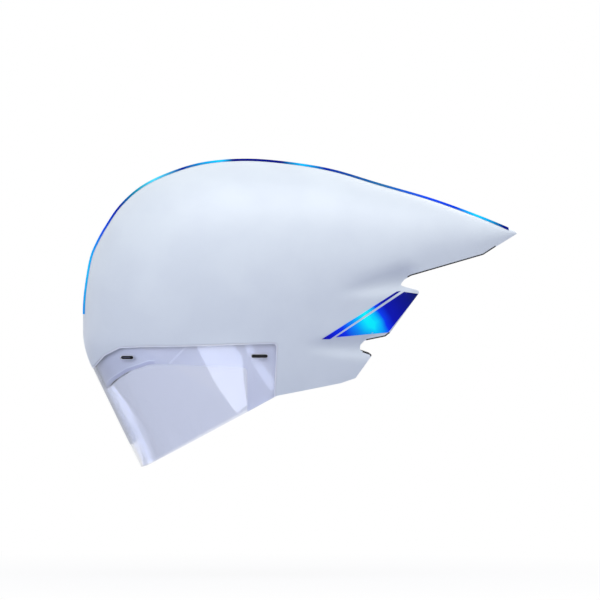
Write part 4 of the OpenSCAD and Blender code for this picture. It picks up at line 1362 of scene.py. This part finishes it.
def turned(profile, steps=48, limit=None):
    """A closed round piece about the Y axis.

    The profile is (radius, height) pairs in millimetres that start and end on the axis, and
    limit gives the most that the radius may be at each angle.
    """
    profile = [(r * MM, h * MM) for r, h in profile]
    angles = np.linspace(0, 2 * np.pi, steps, endpoint=False)
    rim = limit(angles) if limit else np.full(steps, 1.0)
    points = [(0, profile[0][1], 0)]
    for r, h in profile[1:-1]:
        points += [(min(r, q) * math.cos(a), h, min(r, q) * math.sin(a))
                   for a, q in zip(angles, rim)]
    points.append((0, profile[-1][1], 0))
    rings, last = len(profile) - 2, len(points) - 1
    faces = [(0, 1 + i, 1 + (i + 1) % steps) for i in range(steps)]
    faces += [(1 + k * steps + i, 1 + (k + 1) * steps + i, 1 + (k + 1) * steps + (i + 1) % steps,
               1 + k * steps + (i + 1) % steps) for k in range(rings - 1) for i in range(steps)]
    faces += [(last, last - steps + (i + 1) % steps, last - steps + i) for i in range(steps)]
    return closed_up(new_piece("turned", points, faces))


# %% Moving, bending, bevelling and repeating
def place_points(piece, rule):
    """Moves every point by a rule for its three coordinates, and mends the facing."""
    piece.data.vertices.foreach_set("co", np.stack(rule(*coords(piece).T), 1).ravel())
    return closed_up(piece)


def shift(piece, dx=0, dy=0, dz=0):
    return place_points(piece, lambda x, y, z: (x + dx, y + dy, z + dz))


def bend(piece, r, level=0):
    """Bends a flat piece round the rear end of the cavity. Its Y runs inwards from r."""
    return place_points(piece, lambda x, y, z: (
        BARREL_C + (r - y) * np.cos(x / r), (r - y) * np.sin(x / r), z + level))


def bevelled(piece, width, segments=2):
    """Softens the sharp edges by a width in millimetres."""
    soften = piece.modifiers.new("soften", "BEVEL")
    soften.width, soften.segments, soften.limit_method = width * MM, segments, "ANGLE"
    soften.angle_limit = math.radians(50)
    return freeze(piece)


def row_of(piece, count, *step):
    """A row of copies. The step from one to the next is in metres."""
    return run_tree(piece, in_a_row, Count=count, Step=step, Finish=nylon)


# %% Rail and the anchor that holds it in the foam
RAIL_LOW, RUNG_START = mm(-58.5, 4)
rungs = row_of(bar(*mm(-3.2, 3.2), RAIL_LOW + RUNG_START, RAIL_LOW + 6.2 * MM,
                   *mm(-2, 3, 0.8)), 9, *mm(0, 0, 4.2))
flutes = row_of(bar(*mm(-5.8, -5), RAIL_LOW + RUNG_START, DOME_Z - 15 * MM,
                    *mm(-1, 0.3, 0.3)), 2, *mm(10.8, 0, 0))
ladder = carve(plate(*mm(-7.6, 7.6), RAIL_LOW, DOME_Z, *mm(0.05, 1.6)), "DIFFERENCE",
               rungs, flutes)
dress(bend(ladder, 74.6 * MM), "rail_ladder", nylon, "helmet", ["rail"])

ANCHOR_HALF, ANCHOR_LOW = math.radians(11.7) * DRUM_R, DOME_Z - 10.5 * MM
RIVET_APART, RIVET_Z = 22 * MM, DOME_Z - 5.3 * MM
block = carve(plate(-ANCHOR_HALF, ANCHOR_HALF, ANCHOR_LOW, DOME_Z, *mm(0, 5)), "INTERSECT",
              bar(-ANCHOR_HALF, ANCHOR_HALF, ANCHOR_LOW, DOME_Z, *mm(-1, 6, 2.5)))
sinks = bar(*mm(-13, -9), RIVET_Z - 2 * MM, RIVET_Z + 2 * MM, *mm(4.3, 6, 1.9))
carve(bevelled(block, 0.5), "DIFFERENCE", row_of(sinks, 2, RIVET_APART, 0, 0))
dress(bend(block, DRUM_R), "rail_block", nylon, "helmet", ["rail_anchor"])
stud = turned([(0, 4), (1.7, 4), (1.7, 4.6), (1.1, 4.95), (0, 5.05)], 24)
studs = row_of(shift(stud, -RIVET_APART / 2, 0, RIVET_Z), 2, RIVET_APART, 0, 0)
dress(bend(studs, DRUM_R), "rail_rivets", rivet_steel, "helmet", [])

# %% [markdown]
# The cradle is a curved hand of nylon. The rail runs through a channel near its front, the
# two bands through one behind it, and the pinion turns in a round well between them.

# %% Cradle
OUTER, DEEP, HAND_Z = mm(83.4, 12, 12.5)
reach = math.radians(24) * OUTER
hand = carve(plate(-reach, reach, -HAND_Z, HAND_Z, 0, DEEP, 1.2 * MM), "INTERSECT",
             bar(-reach, reach, -HAND_Z, HAND_Z, -1 * MM, DEEP + 1 * MM, 4 * MM))
bevelled(hand, 1.2, 3)
grip_lines = [row_of(bar(*mm(x, x + 1.4, -7.5, 7.5, -1, 0.7, 0.65)), 6, *mm(2.9, 0, 0))
              for x in (15.5, -31.4)]
rail_way = bar(*mm(-8.8, 8.8, -14, 14, 8.6, 10.6))
band_way = bar(*mm(-40, 40, -9.6, 9.6, 4.73, 6.33))
pinion_well = prism(circle(4.75 * MM), *mm(3.93, 10.4))
axle_hole = prism(circle(2.7 * MM), *mm(-1, 6))
carve(hand, "DIFFERENCE", rail_way, band_way, pinion_well, axle_hole, *grip_lines)
dress(bend(hand, OUTER, DIAL_Z), "cradle_hand", nylon, "cradle", ["cradle"])

# %% Dial and its pinion
DIAL_FACE, DIAL_R, DIP_R = 100.667, 15, 0.94
TEETH, TOOTH_MID = 12, 3.65
KNOB = [(0, 0), (13.4, 0), (14.5, 0.5), (15, 1.5), (15, 6.3), (14.6, 7.2), (13.8, 7.8),
        (13.2, 8), (9.2, 7.7), (8.6, 6.9), (5, 6.7), (4.6, 7.3), (0, 7.5)]
PINION = [(0, 92), (3, 92), (4.15, 92.3), (4.15, 95.2), (3, 95.45), (2.45, 95.45),
          (2.45, DIAL_FACE), (0, DIAL_FACE)]


def scalloped(angles):
    """The dial's rim, with a shallow round dip at every sixteenth of a turn."""
    off = np.abs((angles * 8 / np.pi + 0.5) % 1 - 0.5) * np.pi / 8 * DIAL_R
    return (DIAL_R - np.sqrt(np.maximum(DIP_R ** 2 - off ** 2, 0))) * MM


def toothed(angles):
    """The pinion's rim, with its teeth."""
    return (TOOTH_MID + np.clip(1.4 * np.cos(TEETH * angles), -0.5, 0.5)) * MM


knob = turned(KNOB, 192, scalloped)
place_points(knob, lambda x, y, z: (y + DIAL_FACE * MM, -x, z + DIAL_Z))
dress(knob, "dial_grip", grip_rubber, "dial", ["dial_knob"], 40)
ridge = bevelled(bar(*mm(108.2, 108.75, 9.9, 12.9, -0.45, 0.45)), 0.2)
ridges = shift(run_tree(ridge, round_an_axis, Count=32, Finish=grip_rubber), 0, 0, DIAL_Z)
dress(ridges, "dial_ridges", grip_rubber, "dial", [])
pinion = turned(PINION, TEETH * 12, toothed)
place_points(pinion, lambda x, y, z: (y, -x, z + DIAL_Z))
dress(pinion, "dial_gear", acetal, "dial", ["dial_pinion"], 40)

# %% Fit bands with their racks
BAND_R, PITCH = 78.45 * MM, 2 * math.pi * 4 * MM / TEETH
first, root, last = (math.radians(turn) * BAND_R for turn in (-8, 38, 75))
tooth = prism(np.array([(-0.8, 3.6), (0.8, 3.6), (0.35, 5.1), (-0.35, 5.1)]) * MM, *mm(-1, 3))
shift(tooth, first + 0.5 * PITCH)
rack = carve(plate(first, last, *mm(-5, 9.3, 0, 1.15, 1.2)), "INTERSECT",
             bar(first, last, *mm(-5, 9.3, -1, 3, 2.5)))
arm_gap = bar(first - 3 * MM, root, *mm(-9, 4.3, -1, 3, 2))
air_slots = bar(root + 9 * MM, root + 18 * MM, *mm(-0.6, 4.9, -1, 3, 2.7))
carve(rack, "DIFFERENCE", arm_gap, row_of(tooth, int((root - first) / PITCH) - 1, PITCH, 0, 0),
      row_of(air_slots, 3, *mm(12.5, 0, 0)))
bend(rack, BAND_R, DIAL_Z)
twin = new_piece("twin", [], [])
twin.data = rack.data.copy()
place_points(twin, lambda x, y, z: (x, -y, 2 * DIAL_Z - z))
for piece, side in ((rack, "right"), (twin, "left")):
    dress(piece, f"band_rack_{side}", nylon, f"band_{side}", [f"fit_band_{side}"])

# %% [markdown]
# ## Straps and buckle
#
# Webbing, anchors and buckle halves lie on the inside of the ear flaps. They are drawn flat
# too, with Y as the height over the wall, and then laid on it: every point goes to its place
# in the side view, and its height is measured from the wall inwards. Webbing is stiff and
# lies flat, so it is modelled directly and needs no cloth simulation.

# %% Laying a flat piece on the wall
def lay(piece, side, centre, deep, thick, angle=0, on_cavity=False):
    def rule(x, y, z):
        c, s = math.cos(angle), math.sin(angle)
        px, pz = centre[0] + x * c - z * s, centre[1] + x * s + z * c
        low, high = (np.array([on_wall(u, w, depth, side)[1] for u, w in zip(px, pz)])
                     for depth in (deep, deep + thick))
        if on_cavity:
            low = np.full(len(px), side * DRUM_R)
        return px, low + y / thick * (high - low), pz
    return place_points(piece, rule)


def cloth_map(piece):
    """A UV map in metres from the flat piece."""
    uv = piece.data.uv_layers.new(name="cloth").data
    for loop in piece.data.loops:
        uv[loop.index].uv = piece.data.vertices[loop.vertex_index].co.xz
    return piece


def stitched(points, height):
    """A line of stitches through points of the flat piece."""
    fine = finer(points, 8)
    return sew([(x, height, z) for x, z in fine], [(i, i + 1) for i in range(len(fine) - 1)],
               1.9, 1.4, 0.5)


FRONT_ANCHOR, REAR_ANCHOR, DIVIDER, BUCKLE = outline(
    [[-0.02, -0.255], [0.262, -0.185], [0.165, -0.385], [0.225, -0.29]])
WEB_T, WEB_W, BOSS_H, DIVIDER_H, BUCKLE_H = mm(1.4, 15, 5, 4.5, 5)
STRAP_DEPTH = SIDE_WALL + EAR_T + 2 * CLEAR
CHIN_DEPTH = STRAP_DEPTH + WEB_T + CLEAR
WEB_SPAN = (-WEB_W / 2, WEB_W / 2)
BOSS = [(0, 0), (8.5, 0), (9, 0.5), (9, 4), (8.4, 4.7), (7.4, 5), (0, 5)]
RIVET = [(0, 0), (3.4, 0), (3.4, 0.25), (2.6, 0.7), (1.4, 0.95), (0, 1)]
DISC = [(0, 0), (8.5, 0), (9, 0.5), (9, 3.7), (8.5, 4.3), (7.6, 4.5), (6.9, 4.3), (6.5, 3.6),
        (0, 3.4)]
BOX_STITCH = np.array([(6, -5), (19, -5), (19, 5), (6, 5), (6, -5), (19, 5), (19, -5),
                       (6, 5)]) * MM


# %% Anchors and the webbing that runs down from them
def anchor_and_strap(side, sign, end, middle, on_cavity):
    boss = lay(turned(BOSS), sign, middle, STRAP_DEPTH - BOSS_H, BOSS_H, 0, on_cavity)
    dress(boss, f"{end}_boss_{side}", nylon, "helmet", [f"{end}_anchor_{side}"])
    way = DIVIDER - middle
    length, angle = np.hypot(*way), math.atan2(way[1], way[0])
    web = carve(plate(-WEB_W / 2, length - 6 * MM, *WEB_SPAN, 0, WEB_T, 2 * MM), "INTERSECT",
                bar(-WEB_W / 2, length + 8 * MM, *WEB_SPAN, *mm(-1, 3),
                    WEB_W / 2 - 0.01 * MM))
    dress(lay(cloth_map(web), sign, middle, STRAP_DEPTH, WEB_T, angle),
          f"{end}_webbing_{side}", strap_weave, "helmet", [f"{end}_web_{side}"])
    box_stitch = stitched(BOX_STITCH, WEB_T + 0.1 * MM)
    dress(lay(box_stitch, sign, middle, STRAP_DEPTH, WEB_T, angle),
          f"{end}_webbing_stitch_{side}", thread, "helmet", [], 60)
    dress(lay(turned(RIVET, 24), sign, middle, STRAP_DEPTH + WEB_T, 1 * MM),
          f"{end}_rivet_{side}", rivet_steel, "helmet", [])


# %% Divider and the webbing that runs on to the buckle
def divider_and_chin(side, sign):
    dress(lay(turned(DISC), sign, DIVIDER, STRAP_DEPTH, DIVIDER_H), f"divider_disc_{side}",
          nylon, "helmet", [f"strap_divider_{side}"])
    way = BUCKLE - DIVIDER
    angle = math.atan2(way[1], way[0])
    latch = bevelled(bar(*mm(-5.8, 5.8, -2, 2, 3, 4.4, 1.9)), 0.4)
    dress(lay(latch, sign, DIVIDER, STRAP_DEPTH, DIVIDER_H, angle + math.pi / 2),
          f"divider_latch_{side}", nylon, "helmet", [])
    chin = plate(6 * MM, np.hypot(*way) - 6 * MM, *WEB_SPAN, 0, WEB_T, 2 * MM)
    dress(lay(cloth_map(chin), sign, DIVIDER, CHIN_DEPTH, WEB_T, angle),
          f"chin_webbing_{side}", strap_weave, "helmet", [f"chin_web_{side}"])


for side, sign in (("left", -1), ("right", 1)):
    anchor_and_strap(side, sign, "front", FRONT_ANCHOR, True)
    anchor_and_strap(side, sign, "rear", REAR_ANCHOR, False)
    divider_and_chin(side, sign)

# %% [markdown]
# The buckle is open, and its halves lie apart: the catch on the left with windows for the
# prongs in its sides, and the prongs on the right with a tongue between them. Both have a slot
# for the webbing at one end.

# %% The two halves of the buckle
WEB_SLOT = (-12.6, -9.6, -8, 8, -1, 6, 1)
PRONG = np.array([(-4, 5.2), (8, 6.4), (14.9, 4.8), (14.9, 7), (8.5, 9.9), (3, 9.2), (2, 7.6),
                  (-4, 7.6)]) * MM
socket = bevelled(bar(*mm(-15, 15, -10, 10, 0, 5, 2.5)), 0.7)
finger_lines = row_of(bar(*mm(-4, -3.2, -4.5, 4.5, 4.6, 6, 0.35)), 4, *mm(2.2, 0, 0))
carve(socket, "DIFFERENCE", bar(*mm(*WEB_SLOT)), bar(*mm(-3, 8.5, 7, 12, 0.9, 4.1)),
      bar(*mm(-3, 8.5, -12, -7, 0.9, 4.1)), bar(*mm(11, 16, -7.6, 7.6, 1, 4)), finger_lines)
dress(lay(socket, -1, BUCKLE, CHIN_DEPTH, BUCKLE_H), "buckle_catch", nylon, "helmet",
      ["buckle_socket"])

plug = bevelled(bar(*mm(-15, -3, -10, 10, 0, 5, 2.5)), 0.7)
carve(plug, "DIFFERENCE", bar(*mm(*WEB_SLOT)))
for z in (-1, 1):
    carve(plug, "UNION", prism(rounded(PRONG * [1, z], 0.4 * MM, 3), *mm(1.1, 3.9)))
carve(plug, "UNION", bar(*mm(-4, 11, -1.7, 1.7, 1.3, 3.7, 1)))
dress(lay(plug, 1, BUCKLE, CHIN_DEPTH, BUCKLE_H), "buckle_prongs", nylon, "helmet",
      ["buckle_plug"])
